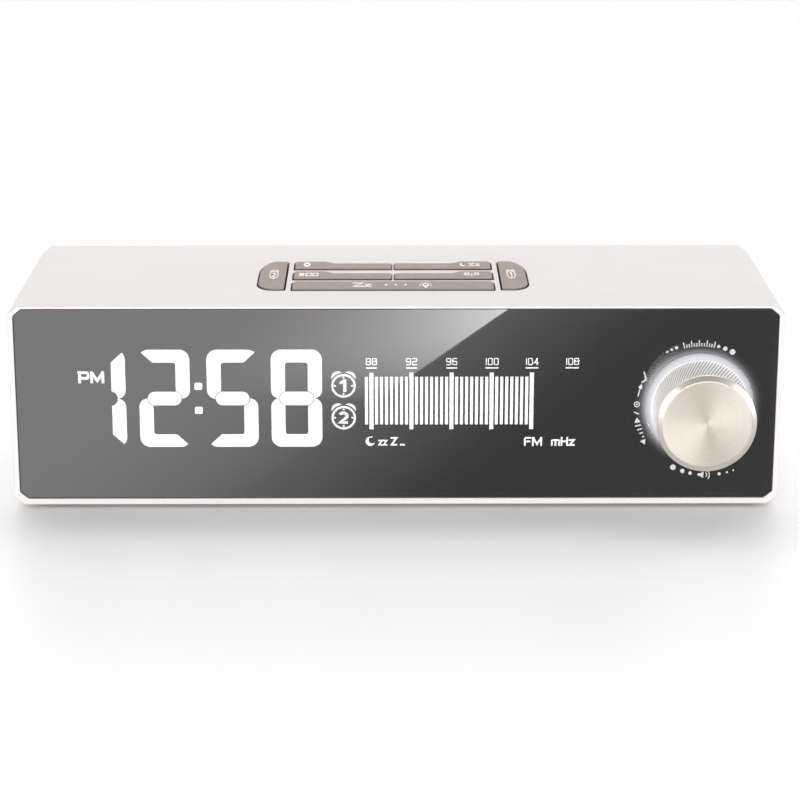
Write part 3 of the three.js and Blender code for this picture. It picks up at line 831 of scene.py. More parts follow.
def fading_light(name, strength, drop=0.0):
    """The light round the knob: full near the knob, and fading outward as a bell curve."""
    made = Finish(name, Base_Color=(0.1, 0.1, 0.11, 1), Roughness=0.6, Emission_Color=GLOW_COLOUR)
    core, far = GLOW_CORE * MM, (GLOW_CORE + 10 * GLOW_SPREAD) * MM
    steps = made.spread(radius_about_knob(made, drop), 0.0, 10.0, core, far)
    fall = made.count("POWER", math.exp(-0.5), made.count("MULTIPLY", steps, steps))
    made.glow(made.count("MULTIPLY", fall, strength))
    return made.material


def circuit_board():
    """Green solder mask over copper tracks."""
    made = Finish("circuit_board", Roughness=0.38, Coat_Weight=0.3, Coat_Roughness=0.15)
    tracks = made.nodes.new("ShaderNodeTexBrick")
    made.feed(tracks, Vector=made.place(), Scale=160, Mortar_Size=0.06, Color1=(0.012, 0.12, 0.045, 1),
              Color2=(0.010, 0.105, 0.04, 1), Mortar=(0.03, 0.20, 0.075, 1))
    made.feed(made.shader, Base_Color=tracks.outputs["Color"])
    made.bump(tracks.outputs["Fac"], 0.3, 0.03)
    return made.material


def striped_rubber():
    """The contact strip: thin dark and light layers side by side."""
    made = Finish("striped_rubber", Roughness=0.7)
    layers = made.add("TexWave", "Fac", {"bands_direction": "X"}, Vector=made.place(), Scale=900)
    made.colour(layers, ((0.02, 0.02, 0.02), (0.45, 0.38, 0.36)))
    return made.material


WHITE = white_plastic()
RIM_PAINTED_SHADE = rim_painted_shade()
LENS = smoked_lens()
PAINT = button_paint()
SPUN = spun_aluminium()
KNURLED = knurled_aluminium()
STEEL = steel()
BLACK = black_plastic()
RUBBER = rubber()
BOARD = circuit_board()
SEGMENT = glowing("lit_segment", (1, 1, 1), 1.02 / LENS_SHARE)
RING_INK = printed_ink("lit_ring_print", (0.93, 0.93, 0.93), 0.78 / LENS_SHARE)
# The print on the buttons glows faintly: painted light.
BUTTON_INK_PAINTED_GLOW = printed_ink("button_print_painted_glow", (0.86, 0.82, 0.77), 0.05)
RING_LIGHT = fading_light("ring_light", 0.72)
HALO = fading_light("halo_light", 0.85 / LENS_SHARE, drop=0.5)


# ---------------------------------------------------------------- case

def case_outlines():
    inner_low = Vector((CASE_LOW.x + WALL_SIDE, 0, BASE + WALL_BOTTOM))
    inner_high = Vector((CASE_HIGH.x - WALL_SIDE, 0, TOP - WALL_TOP))
    return (
        chamfered(CASE_LOW, CASE_HIGH, CASE_CORNER),
        chamfered(LENS_LOW, LENS_HIGH, LENS_CORNER),
        chamfered(COVER_LOW, COVER_HIGH, LENS_CORNER),
        chamfered(inner_low, inner_high, LENS_CORNER),
    )


def sleeve():
    """The tube of the case: round front and rear rims, and a seat for the lens and for the rear cover."""
    outer, lens, cover, inner = case_outlines()
    rim, lip = 0.38, 0.14
    path = [(inner, 0, LENS_BACK + SEAT_GAP), (lens, SEAT_GAP, LENS_BACK + SEAT_GAP)]
    path += [(lens, SEAT_GAP + inset, FRONT + depth) for inset, depth in quarter(lip, 2)]
    path += [(outer, -inset, FRONT + depth) for inset, depth in quarter(rim, 5)[::-1]]
    path += [(outer, -inset, BACK - depth) for inset, depth in quarter(rim, 5)]
    path += [(cover, SEAT_GAP + inset, BACK - depth) for inset, depth in quarter(lip, 2)[::-1]]
    path += [(cover, SEAT_GAP, COVER_INSIDE - SEAT_GAP), (inner, 0, COVER_INSIDE - SEAT_GAP)]
    rings = [[(u, y, v) for u, v in outline.ring(grow)] for outline, grow, y in path]
    return Solid().loft(rings, closed=True)


def snooze_outline():
    y0, y1 = ROW_Y["snooze"]
    u0, u1 = BUTTON_CENTRE - ROW_HALF, BUTTON_CENTRE + ROW_HALF
    return rectangle(u0, u1, y0, y1, [0.5, 0.5, 1.6, 1.6], 6)


def row_outline(row, side, split=ROW_SPLIT):
    """One half of a row, from its split to its end tab."""
    y0, y1 = ROW_Y[row]
    strip = y1 - TAB_STEP
    corners = [
        (split, y0), (ROW_HALF, y0), (ROW_HALF, y1), (ROW_HALF - TAB_END, y1),
        (ROW_HALF - TAB_END - TAB_SLOPE, strip), (split, strip),
    ]
    corners = [(BUTTON_CENTRE + side * d, v) for d, v in corners]
    return Outline(corners, [0.25, 0.5, 1.2, 1.5, 1.5, 0.25], 6)


def end_outline(side):
    """An end button: straight inside edge, long round corners outside."""
    y0, y1 = END_Y
    front, back = (4.4, 7.5), (4.6, 15.0)
    lower = arc((END_OUTER - front[0], y0 + front[1]), front, -90, 0, 9)
    upper = arc((END_OUTER - back[0], y1 - back[1]), back, 0, 90, 12)
    corners = [(END_INNER, y0)] + lower + upper + [(END_INNER, y1)]
    radii = [0.4] + [0.0] * (len(lower) + len(upper)) + [0.4]
    return Outline([(BUTTON_CENTRE + side * d, v) for d, v in corners], radii, 5)


def well_cutter(outline):
    """Cuts an opening with a softly rounded upper edge."""
    edge = 0.16
    levels = [(BUTTON_GAP, TOP - 5)]
    levels += [(BUTTON_GAP + inset, TOP - depth) for inset, depth in quarter(edge, 4)]
    levels.append((BUTTON_GAP + edge, TOP + 1))
    return Solid().loft([[(u, v, z) for u, v in outline.ring(grow)] for grow, z in levels])


def well_outlines():
    split = RIB_HALF + BUTTON_GAP
    rows = [row_outline(row, side, split) for row in ("lower", "upper") for side in (-1, 1)]
    return [snooze_outline(), *rows, end_outline(-1), end_outline(1)]


def feet():
    """The node, the place and the radius of each foot."""
    for i in range(1, 5):
        node = f"foot_{i}"
        low, high = box_mm(node)
        x, y, _ = middle_mm(node)
        yield node, x, y, (high.x - low.x) / 2


def underside_cutters():
    """Foot pockets, the battery door's seat, vents and a blank label field."""

    def pocket(outline, depth):
        return Solid().slab(outline, BASE - 1, BASE + depth, on_top)

    made = []
    for _, x, y, foot_radius in feet():
        radius, low, high = foot_radius + SEAT_GAP, BASE - 1, BASE + 0.8
        made.append(Solid().turned_up(x, y, [(0, low), (radius, low), (radius, high), (0, high)]))
    gap = SEAT_GAP
    door = rectangle(DOOR_LOW.x - gap, DOOR_HIGH.x + gap, DOOR_LOW.y - gap, DOOR_HIGH.y + gap, 1.0)
    made.append(pocket(door, 1.5))
    made.append(pocket(rectangle(-30, 30, -8, 22, 2.0), 0.25))
    slots, pitch = 12, 3.6
    for i in range(slots):
        x = -80 + i * pitch
        made.append(pocket(rectangle(x, x + 1.6, 4, 24, 0.75), 1.2))
    return made


def build_case():
    wells = [well_cutter(outline) for outline in well_outlines()]
    solid = cut(sleeve(), wells + underside_cutters())

    # The rim's front faces get the darker white: painted shade.
    def faces_with_painted_shade(middle, normal):
        return normal.y < -0.3 and middle.y < LENS_FRONT + 2

    piece("case_shell", solid, "case", WHITE, ["housing_sleeve"], second=RIM_PAINTED_SHADE, where=faces_with_painted_shade)


def build_feet():
    for node, x, y, radius in feet():
        high = box_mm(node)[1].z
        profile = [(0, 0.25), (radius - 1.6, 0.25), (radius - 1.3, 0), (radius - 0.45, 0)]
        profile += [(radius - inset, depth) for inset, depth in quarter(0.45)[::-1]]
        profile += [(radius, high), (0, high)]
        piece(f"rubber_{node}", Solid().turned_up(x, y, profile), "case", RUBBER, [node])


def build_battery_door():
    outline = rectangle(DOOR_LOW.x, DOOR_HIGH.x, DOOR_LOW.y, DOOR_HIGH.y, 0.9)
    solid = Solid().slab(outline, DOOR_LOW.z, DOOR_HIGH.z, on_top, edge_low=0.25)
    x = middle_mm("battery_door")[0]
    tools = []
    for i in range(5):
        y = DOOR_HIGH.y - 3 - i * 1.8
        groove = rectangle(x - 6, x + 6, y - 0.5, y + 0.5, 0.45)
        tools.append(Solid().slab(groove, 0, DOOR_LOW.z + 0.5, on_top))
    y = DOOR_LOW.y + 4
    arrow = Outline([(x - 2, y + 2), (x, y - 1.5), (x + 2, y + 2)], 0.2)
    tools.append(Solid().slab(arrow, 0, DOOR_LOW.z + 0.4, on_top))
    piece("battery_door_moulding", cut(solid, tools), "case", WHITE, ["battery_door"])


# ---------------------------------------------------------------- rear

def along_y(x, z, radius, y0, y1, sides=48):
    return Solid().turned(x, z, [(0, y0), (radius, y0), (radius, y1), (0, y1)], sides)


def hole_cutter(x, z, radius, edge=0.3, sides=64):
    """A hole through the rear cover whose outer edge is rounded."""
    profile = [(0, COVER_INSIDE - 1), (radius, COVER_INSIDE - 1)]
    profile += [(radius + inset, BACK - depth) for inset, depth in quarter(edge)]
    profile += [(radius + edge, BACK + 1), (0, BACK + 1)]
    return Solid().turned(x, z, profile, sides)


def build_rear_cover():
    outline = chamfered(COVER_LOW, COVER_HIGH, LENS_CORNER)
    solid = Solid().slab(outline, COVER_INSIDE, BACK, on_front, edge_high=0.3)
    grommet_x, _, grommet_z = middle_mm("antenna_grommet")
    tools = [hole_cutter(middle_mm("dc_jack")[0], JACK_Z, 5.6), hole_cutter(grommet_x, grommet_z, 2.6)]
    for i in range(1, 5):
        x, _, z = middle_mm(f"rear_cover_screw_{i}")
        tools.append(along_y(x, z, 1.7, COVER_INSIDE - 1, BACK))
        tools.append(along_y(x, z, 3.1, BACK - 1.2, BACK + 1))
    speaker_x, _, speaker_z = middle_mm("speaker_frame")
    reach, pitch = box_mm("speaker_frame")[1].x - speaker_x - 3, 4
    for i in range(-4, 5):
        half = math.sqrt(reach ** 2 - (i * pitch) ** 2) - 0.5
        x = speaker_x + i * pitch
        slot = rectangle(x - 1, x + 1, speaker_z - half, speaker_z + half, 0.95)
        tools.append(Solid().slab(slot, COVER_INSIDE - 1, BACK + 1, on_front))
    label = rectangle(-36, 24, 12, 46, 2.0)
    tools.append(Solid().slab(label, BACK - 0.3, BACK + 1, on_front))
    piece("rear_panel", cut(solid, tools), "case", WHITE, ["rear_cover"])


def build_rear_screws():
    for i in range(1, 5):
        node = f"rear_cover_screw_{i}"
        low, high = box_mm(node)
        x, _, z = middle_mm(node)
        head = high.y - 0.95
        profile = [(0, low.y), (0.9, low.y + 0.6), (1.3, low.y + 1.4)]
        thread, y = 1.1, low.y + 1.4
        while y < head - 3:
            profile += [(1.3, y + 0.15), (thread, y + 0.45), (1.3, y + 0.75)]
            y += 0.75
        profile += [(1.3, head), (2.7, head), (2.7, head + 0.35)]
        profile += [(2.7 * math.cos(t), head + 0.35 + 0.6 * math.sin(t)) for t in (0.4, 0.8, 1.2)]
        profile += [(0, high.y)]
        solid = Solid().turned(x, z, profile, 40)
        cross = [
            Solid().slab(rectangle(x - u, x + u, z - v, z + v, 0.1), high.y - 0.75, high.y + 1, on_front)
            for u, v in ((1.55, 0.3), (0.3, 1.55))
        ]
        piece(f"rear_screw_{i}", cut(solid, cross), "case", STEEL, [node])


def build_grommet():
    x, _, z = middle_mm("antenna_grommet")
    front, rear = GROMMET_LOW.y, GROMMET_HIGH.y
    hole, neck, flange = 0.8, 2.3, (GROMMET_HIGH.x - GROMMET_LOW.x) / 2
    inside = COVER_INSIDE - 0.3
    profile = [(hole, front), (flange - 0.4, front), (flange, front + 0.4), (flange, inside), (neck, inside)]
    profile += [(neck - inset, rear - depth) for inset, depth in quarter(0.5)]
    profile += [(hole + 0.3, rear), (hole, rear - 0.3)]
    solid = Solid().turned(x, z, profile, 48, closed=True)
    piece("aerial_grommet", solid, "case", RUBBER, ["antenna_grommet"])


def build_jack():
    x, rear = middle_mm("dc_jack")[0], JACK_HIGH.y
    outline = rectangle(JACK_LOW.x, JACK_HIGH.x, JACK_LOW.z, JACK_HIGH.z, 0.6)
    body = Solid().slab(outline, JACK_LOW.y, rear, on_front, edge_high=0.25)
    profile = [(0, rear - 9.5), (3.1, rear - 9.5), (3.1, rear - 0.4), (3.5, rear + 0.1), (3.5, rear + 1)]
    bore = Solid().turned(x, JACK_Z, profile + [(0, rear + 1)])
    tip = rear - 1.5
    profile = [(0, tip - 8.4), (1, tip - 8.4), (1, tip - 0.5), (0.6, tip), (0, tip)]
    pin = Solid().turned(x, JACK_Z, profile, 24)
    piece("dc_socket", cut(body, [bore]), "case", BLACK, ["dc_jack"])
    piece("dc_socket_pin", pin, "case", STEEL)


# ---------------------------------------------------------------- front

def build_lens():
    outline = chamfered(LENS_LOW, LENS_HIGH, LENS_CORNER, rounding=0.6)
    edge = 0.15
    levels = [(-inset, LENS_FRONT + depth) for inset, depth in quarter(edge, 3)[::-1]]
    levels.append((0, LENS_BACK))
    solid = Solid().loft([[(u, y, v) for u, v in outline.ring(grow)] for grow, y in levels])
    profile = [(0, LENS_FRONT - 1), (LENS_HOLE + edge, LENS_FRONT - 1)]
    profile += [(LENS_HOLE + inset, LENS_FRONT + depth) for inset, depth in quarter(edge, 3)[::-1]]
    wall = RING_LOW.y + 0.2
    profile += [(LENS_HOLE, wall), (LENS_HOLE, LENS_BACK + 1), (0, LENS_BACK + 1)]
    hole = Solid().turned(KNOB_X, KNOB_Z, profile, 96)
    solid = cut(solid, [hole])

    def inner(middle, normal):
        """The rear face, and the wall of the hole behind the front of the ring light."""
        return normal.y > 0.99 or (from_knob(middle) < LENS_HOLE + 0.05 and middle.y > wall)

    piece("smoked_front_lens", solid, "case", LENS, ["front_lens"], second=lens_rear(), where=inner)


def on_display(u, v, height):
    return (u - 0.15, DRAWN_AT - height, v - DISPLAY_DROP)


def lit(name, drawing, place=on_display, material=None):
    solid = drawing.build(place, LINE_HEIGHT)
    piece(name, solid, "case", material or SEGMENT, sharp=20)


# A digit's proportions.
DIGIT_WIDTH, DIGIT_HEIGHT = 14.25, 28.3
DIGIT_LOW = 18.1
DIGIT_LEFT = {"1": -89.65, "2": -71.7, "5": -52.7, "8": -34.8}
POST, BEAM = 3.95, 3.7  # widths of the upright and of the level segments
CORNER, WAIST = 2.9, 2.4  # outer radii at the ends and at the middle
MIDDLE_INSET, MIDDLE_HALF = 2.42, 1.97
HAIRLINE = 0.2
LIT = {"1": "bc", "2": "abged", "5": "afgcd", "8": "abcdefg"}


def digit_post(upper, right):
    """An upright segment of the upper right quarter, mirrored to where it belongs."""
    width, half = DIGIT_WIDTH / 2, DIGIT_HEIGHT / 2
    inner = width - POST
    points = arc((width - CORNER, half - CORNER), CORNER, 45, 0, 6)
    points += arc((width - WAIST, WAIST), WAIST, 0, -90, 6)
    centre = width - MIDDLE_INSET - MIDDLE_HALF
    notch = MIDDLE_HALF + HAIRLINE
    meet = math.degrees(math.acos(max(-1, min(1, (inner - centre) / notch))))
    points += arc((centre, 0), notch, 0, meet, 8)
    points.append((inner, half - BEAM))
    return mirrored(points, right, upper)


def digit_beam(upper):
    """The top or bottom segment, with slanted ends."""
    width, half = DIGIT_WIDTH / 2, DIGIT_HEIGHT / 2
    points = arc((-width + CORNER, half - CORNER), CORNER, 135, 90, 6)
    points += arc((width - CORNER, half - CORNER), CORNER, 90, 45, 6)
    points += [(width - POST, half - BEAM), (-width + POST, half - BEAM)]
    return mirrored(points, 1, upper)


def digit_middle():
    reach = DIGIT_WIDTH / 2 - MIDDLE_INSET - MIDDLE_HALF
    return arc((reach, 0), MIDDLE_HALF, 90, -90, 14) + arc((-reach, 0), MIDDLE_HALF, 270, 90, 14)


def inner_fillet(right, upper, radius=0.7):
    """Fills the inner corner where two segments meet."""
    width, half = DIGIT_WIDTH / 2 - POST, DIGIT_HEIGHT / 2 - BEAM
    points = [(width, half)] + arc((width - radius, half - radius), radius, 90, 0, 4)
    return mirrored(points, right, upper)


def mirrored(points, right, upper):
    return [(u * right, v * upper) for u, v in points]


SEGMENTS = {
    "a": lambda: digit_beam(1),
    "b": lambda: digit_post(1, 1),
    "c": lambda: digit_post(-1, 1),
    "d": lambda: digit_beam(-1),
    "e": lambda: digit_post(-1, -1),
    "f": lambda: digit_post(1, -1),
    "g": digit_middle,
}
CORNERS = {"ab": (1, 1), "cd": (1, -1), "de": (-1, -1), "af": (-1, 1)}


def build_digits():
    for digit, left in DIGIT_LEFT.items():
        centre = (left + DIGIT_WIDTH / 2, DIGIT_LOW + DIGIT_HEIGHT / 2)
        drawing = Drawing()
        shapes = [SEGMENTS[segment]() for segment in LIT[digit]]
        shapes += [inner_fillet(*where) for pair, where in CORNERS.items() if set(pair) <= set(LIT[digit])]
        for shape in shapes:
            drawing.polygon([(centre[0] + u, centre[1] + v) for u, v in shape])
        lit(f"digit_{digit}", drawing)
    colon = Drawing()
    for v in (34.8, 27.8):
        colon.polygon(rectangle(-56.2, -54.0, v, v + 2.05, 0.4).ring())
    lit("digit_colon", colon)


def build_display_marks():
    afternoon = Drawing()
    write(afternoon, "PM", -88.5, 36.75, 3.4, 7.2, 0.74)
    lit("mark_pm", afternoon)
    for number, z in ((1, 36.0), (2, 26.7)):
        alarm = Drawing()
        draw_alarm(alarm, -14.55, z - 0.1, 3.42, number)
        lit(f"mark_alarm_{number}", alarm)
    rest = Drawing()
    draw_moon(rest, -7.1, 19.65, 1.35)
    write(rest, "zz", -4.9, 18.4, 2.5 / 0.68 * 0.62, 2.6, 0.42)
    write(rest, "Z", -1.4, 18.4, 2.5, 1.9, 0.5)
    rest.stroke([(1.2, 18.65), (2.6, 18.65)], 0.5, cap=False)
    lit("mark_sleep", rest)
    band = Drawing()
    write(band, "FM", 36.1, 18.25, 2.6, 5.1, 0.5)
    write(band, "mHz", 43.7, 18.25, 2.6, 6.7, 0.5)
    lit("mark_band", band)


SCALE_LEFT, SCALE_STEP = -6.75, 11.2  # the first number's mark, and the distance between numbers
THIN_MARKS = 7


def build_tuning_scale():
    bars = Drawing()
    numbers = Drawing()
    marks = ("88", "92", "96", "100", "104", "108")
    for i, text in enumerate(marks):
        u = SCALE_LEFT + i * SCALE_STEP
        wide = 3.75 if len(text) == 3 else 3.1
        write(numbers, text, u - wide / 2, 41.85, 2.05, wide, 0.26)
        numbers.stroke([(u - wide / 2 + 0.05, 41.05), (u + wide / 2 - 0.05, 41.05)], 0.36, cap=False)
        if text != marks[-1]:
            bars.stroke([(u, 23.2), (u, 39.7)], 1.14, cap=False)
    pitch = SCALE_STEP / (THIN_MARKS + 1)
    for i in range(-1, (len(marks) - 2) * (THIN_MARKS + 1)):
        if i % (THIN_MARKS + 1):
            u = SCALE_LEFT + i * pitch
            bars.stroke([(u, 24.6), (u, 38.5)], 0.86, cap=False)
    lit("tuning_bars", bars)
    lit("tuning_numbers", numbers)


# ---------------------------------------------------------------- knob

def build_ring_print():
    """Dots and signs in three arcs round the knob, on the back of the lens."""

    def around(shift, radius, middle, reads_out=1):
        centre = (KNOB_X + shift[0], KNOB_Z + shift[1] - PRINT_DROP)

        def place(u, v, height):
            t = math.radians(middle) - reads_out * u / radius
            r = radius + reads_out * v
            return (centre[0] + r * math.cos(t), LENS_BACK + 0.02 + height, centre[1] + r * math.sin(t))

        return place

    top = Drawing()
    draw_tuning(top, -0.1, 0, 8.6, 1.75)
    for u, size in ((-6.6, 0.48), (-8.0, 0.37), (-9.4, 0.3), (5.4, 0.45), (7.4, 0.62), (9.7, 0.8)):
        top.disc(u, 0 if u < 0 else -0.25, size)
    lit("ring_print_top", top, around((0.1, -0.9), 18.9, 91), RING_INK)

    left = Drawing()
    draw_adjust(left, -6.7, 0, 8.4, 1.7)
    left.stroke([(-1.6, -0.75), (-0.9, 0.75)], 0.3, cap=False)
    draw_confirm(left, 5.7, 0, 10.4, 1.7)
    lit("ring_print_left", left, around((4.9, -1.0), 22.2, 180), RING_INK)

    bottom = Drawing()
    draw_speaker(bottom, 0.1, 0, 1.9)
    for u, size in ((-4.0, 0.5), (-6.3, 0.62), (-9.2, 0.8), (4.3, 0.45), (6.5, 0.3), (8.4, 0.25)):
        bottom.disc(u, 0, size)
    lit("ring_print_bottom", bottom, around((3.0, 0.85), 21.3, 268, -1), RING_INK)


def from_knob(point):
    """The distance of a point from the knob's axis."""
    return math.hypot(point.x - KNOB_X, point.z - KNOB_Z)


def build_ring_light():
    """The light guide in the lens hole, and the glow of its flange behind the lens."""
    hole, flange = LENS_HOLE - 0.01, (RING_HIGH.x - RING_LOW.x) / 2
    profile = [(6, RING_LOW.y + 0.9), (hole - 2.2, RING_LOW.y + 0.9)]
    profile += [(hole - 1.6, RING_LOW.y + 0.1), (hole - 0.2, RING_LOW.y), (hole, RING_LOW.y + 0.1)]
    profile += [(hole, LENS_FRONT + 0.35), (hole, LENS_BACK + 0.3), (flange, LENS_BACK + 0.3)]
    profile += [(flange, RING_HIGH.y), (6, RING_HIGH.y)]
    solid = Solid().turned(KNOB_X, KNOB_Z, profile, 128, closed=True)

    def outside(middle, normal):
        return from_knob(middle) > hole - 0.05 and middle.y > LENS_FRONT + 0.35

    piece("ring_light_guide", solid, "case", RING_LIGHT, ["knob_light_ring"],
          second=HALO, where=outside)
    low, high = LENS_BACK + 0.1, LENS_BACK + 0.26
    halo = [(hole + 0.06, low), (flange + 0.9, low), (flange + 0.9, high), (hole + 0.06, high)]
    glow = Solid().turned(KNOB_X, KNOB_Z, halo, 128, closed=True)
    piece("ring_halo", glow, "case", HALO)


def knurl_depth(angle, y):
    """How far the knurl is cut in from the knob's radius: deep leaning grooves, shallow ones across."""
    pitch = 2 * math.pi * KNOB_RADIUS / KNURLS
    across = angle * KNOB_RADIUS / pitch
    main, other = [abs((across + way * y * KNURL_LEAN / pitch) % 1 - 0.5) * 2 for way in (1, -1)]
    return KNURL_DEPTH * max(main, CROSS_CUT * other)


def build_knob_body():
    """A hollow knob: bright chamfer, knurled side, smooth rear rim, and a hub inside."""
    face, rear, outer = KNOB_LOW.y, KNOB_HIGH.y, KNOB_RADIUS
    seat = (FACE_HIGH.x - FACE_LOW.x) / 2 + 0.03
    sides = KNURLS * 6
    knurl_start, knurl_stop = face + 1.35, rear - 0.9
    rows = 62

    def ring(radius, y):
        return [(u, y, v) for u, v in circle((KNOB_X, KNOB_Z), radius, sides)]

    def rings_at(*places):
        return [ring(radius, y) for radius, y in places]

    rings = rings_at((1e-3, face + 0.85), (seat, face + 0.85), (seat, face + 0.05))
    rings += rings_at((seat + 0.04, face + 0.03), (outer - 0.12, face + 0.86), (outer, face + 1.0))
    rings += rings_at((outer, knurl_start - 0.1))
    for row in range(rows + 1):
        y = knurl_start + (knurl_stop - knurl_start) * row / rows
        fade = min(1, row / 2, (rows - row) / 2)
        points = []
        for i in range(sides):
            t = 2 * math.pi * i / sides
            r = outer - knurl_depth(t, y) * fade
            points.append((KNOB_X + r * math.cos(t), y, KNOB_Z + r * math.sin(t)))
        rings.append(points)
    rings += rings_at((outer, knurl_stop + 0.1), (outer, rear - 0.35), (outer - 0.35, rear))
    rings += rings_at((11.2, rear), (11.2, face + 3.6), (5.2, face + 3.6), (5.2, rear - 2.6))
    rings += rings_at((3.1, rear - 2.6), (3.1, face + 2.8), (1e-3, face + 2.8))
    solid = Solid().loft(rings)

    def on_chamfer(middle, normal):
        return middle.y < face + 1.05 and from_knob(middle) > seat - 0.01

    piece("knurled_knob", solid, "knob", KNURLED, ["knob_body"], sharp=50,
          second=polished_chamfer(), where=on_chamfer)


def build_knob_face():
    radius, front = (FACE_HIGH.x - FACE_LOW.x) / 2, FACE_LOW.y
    profile = [(0, front + 0.12), (radius * 0.5, front + 0.09), (radius - 0.5, front + 0.02)]
    profile += [(radius - inset, front + depth) for inset, depth in quarter(0.05)[::-1]]
    profile += [(radius, FACE_HIGH.y), (0, FACE_HIGH.y)]
    solid = Solid().turned(KNOB_X, KNOB_Z, profile, 128)
    piece("spun_knob_face", solid, "knob", SPUN, ["knob_face"])


# ---------------------------------------------------------------- buttons

def button_outlines():
    return {
        "snooze": snooze_outline(),
        "set": row_outline("upper", -1),
        "sleep": row_outline("upper", 1),
        "memory": row_outline("lower", -1),
        "band": row_outline("lower", 1),
        "alarm_two": end_outline(-1),
        "alarm_one": end_outline(1),
    }


def button_signs():
    """The printed sign of each button, drawn round its own middle, with its place and its stretch."""
    wake = Drawing()
    write(wake, "Z", -12.3, -1.25, 2.6, 3.2, 0.6)
    write(wake, "z", -8.9, -1.25, 2.3, 2.0, 0.5)
    for u in (-2.8, 0, 2.8):
        wake.disc(u, 0, 0.38, 16)
    draw_lamp(wake, 8.5, -0.1, 1.8)
    gear, listing, rest, mast = Drawing(), Drawing(), Drawing(), Drawing()
    draw_gear(gear, 0, 0, 1.1)
    draw_memory(listing, 0, 0, 5.4, 1.1)
    draw_moon(rest, -1.9, 0, 0.8)
    write(rest, "Zz", -0.2, -0.65, 1.35, 3.4, 0.36)
    draw_aerial(mast, 0, 0, 1.6)
    signs = {
        "snooze": (wake, (0, -5.6), 1.9),
        "set": (gear, (-26.0, 19.4), SIGN_STRETCH),
        "memory": (listing, (-25.2, 7.0), SIGN_STRETCH),
        "sleep": (rest, (21.6, 19.4), SIGN_STRETCH),
        "band": (mast, (22.0, 7.0), SIGN_STRETCH),
    }
    for name, place, number in (("alarm_two", (-35.2, 7.4), 2), ("alarm_one", (33.4, 7.6), 1)):
        clock = Drawing()
        draw_alarm(clock, 0, -0.2, 1.3, number)
        signs[name] = (clock, place, 3.8)
    return signs


def on_button(middle, stretch):
    def place(u, v, height):
        return (middle[0] + u, middle[1] + v * stretch, BUTTON_TOP - 0.03 + height)

    return place


def build_buttons():

    # Below the painted top the caps' sides are black plastic: painted shade that darkens the gaps round the
    # caps.
    def black_shade_sides(middle, normal):
        return middle.z < TOP - 0.1

    signs = button_signs()
    low, top = TOP - 3.8, BUTTON_TOP - 0.02
    for name, outline in button_outlines().items():
        body = f"{name}_key"
        solid = Solid().slab(outline, low, top, on_top, 0.2, 0.26, steps=5, inset=CAP_INSET)
        piece(f"{name}_cap", solid, body, PAINT, [f"{name}_button"], second=BLACK, where=black_shade_sides)
        drawing, middle, stretch = signs[name]
        print_solid = drawing.build(on_button(middle, stretch), 0.028)
        piece(f"{name}_print", print_solid, body, BUTTON_INK_PAINTED_GLOW, sharp=20)


# ---------------------------------------------------------------- inside

def dress(material, *nodes):
    """Gives a CAD node that stays visible its finished material."""
    for node in nodes:
        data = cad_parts[node].data
        data.materials.clear()
        data.materials.append(material)


def dress_inside():
    dress(BLACK, "display_frame", "battery_holder", "encoder_rotor")
    dress(BLACK, *[f"{name}_switch" for name in BUTTON_NAMES])
    dress(RUBBER, *[f"{name}_switch_plunger" for name in BUTTON_NAMES])
    dress(display_glass(), "lcd_glass")
    dress(glowing("back_light", (1, 1, 1), 0.3), "lcd_light_guide")
    dress(striped_rubber(), "zebra_strip_upper", "zebra_strip_lower")
    dress(BOARD, "display_board", "key_board", "main_board")
    dress(STEEL, "encoder_housing", "encoder_shaft", "encoder_push_dome", "speaker_frame", "speaker_magnet")
    dress(STEEL, "backup_cell", *[f"{board}_board_screw_{i}" for board in ("key", "main") for i in (1, 2)])
    dress(pressed_paper(), "speaker_cone")


# ---------------------------------------------------------------- stage

LENS_FOCAL = 112.36
CAMERA_PLACE = Vector((-2.2, -695.8, 227.9))
CAMERA_PITCH, CAMERA_YAW = 16.373, 0.2688
CARD_DISTANCE = 300.0  # from the lens to the reflection card
MIRROR_SHARE = CARD_DISTANCE / (LENS_FRONT - CAMERA_PLACE.y)
EDGE_TOP, EDGE_FOOT = (31.8, 58.5), (-46.0, 3.0)  # the slanting edge, where it is seen on the lens
LENS_MIRROR = 0.038  # the share of the light that the lens mirrors


def add_camera():
    data = bpy.data.cameras.new("camera")
    data.lens = LENS_FOCAL
    data.sensor_width = 36
    camera = bpy.data.objects.new("camera", data)
    camera.location = CAMERA_PLACE * MM
    camera.rotation_euler = (math.radians(90 - CAMERA_PITCH), 0, math.radians(-CAMERA_YAW))
    bpy.context.scene.collection.objects.link(camera)
    bpy.context.scene.camera = camera


def add_floor():
    """A white table top, which no other surface mirrors."""
    half = 6000
    square = [(-half, -half), (half, -half), (half, half), (-half, half)]
    solid = Solid().loft([[(u, v, z) for u, v in square] for z in (-10, 0)])
    floor = new_object("floor", solid, MM)
    white = Finish("floor_white", Base_Color=(0.96, 0.96, 0.96, 1), IOR=1.4)
    white.roughness(white.noise(8, 2), 0.4, 0.44)
    floor.data.materials.append(white.material)
    floor.visible_glossy = False


def in_mirror(x, z):
    """The card's point that the photographer sees at a point of the lens."""
    return x + (x - CAMERA_PLACE.x) * MIRROR_SHARE, z + (z - CAMERA_PLACE.z) * MIRROR_SHARE


def add_reflection_card():
    """A studio card in front, seen only in reflections: bright to the left of a slanting edge."""
    y = LENS_FRONT - CARD_DISTANCE
    left, low = in_mirror(LENS_LOW.x - 15, LENS_LOW.z - 3)
    right, high = in_mirror(LENS_HIGH.x + 15, LENS_HIGH.z + 6)
    card = Solid()
    card.verts = [(left, y, low), (right, y, low), (right, y, high), (left, y, high)]
    card.faces = [(0, 1, 2, 3)]
    obj = new_object("reflection_card", card, MM)
    obj.data.materials.append(card_light())
    for ray in ("camera", "diffuse", "transmission", "volume_scatter", "shadow"):
        setattr(obj, f"visible_{ray}", False)


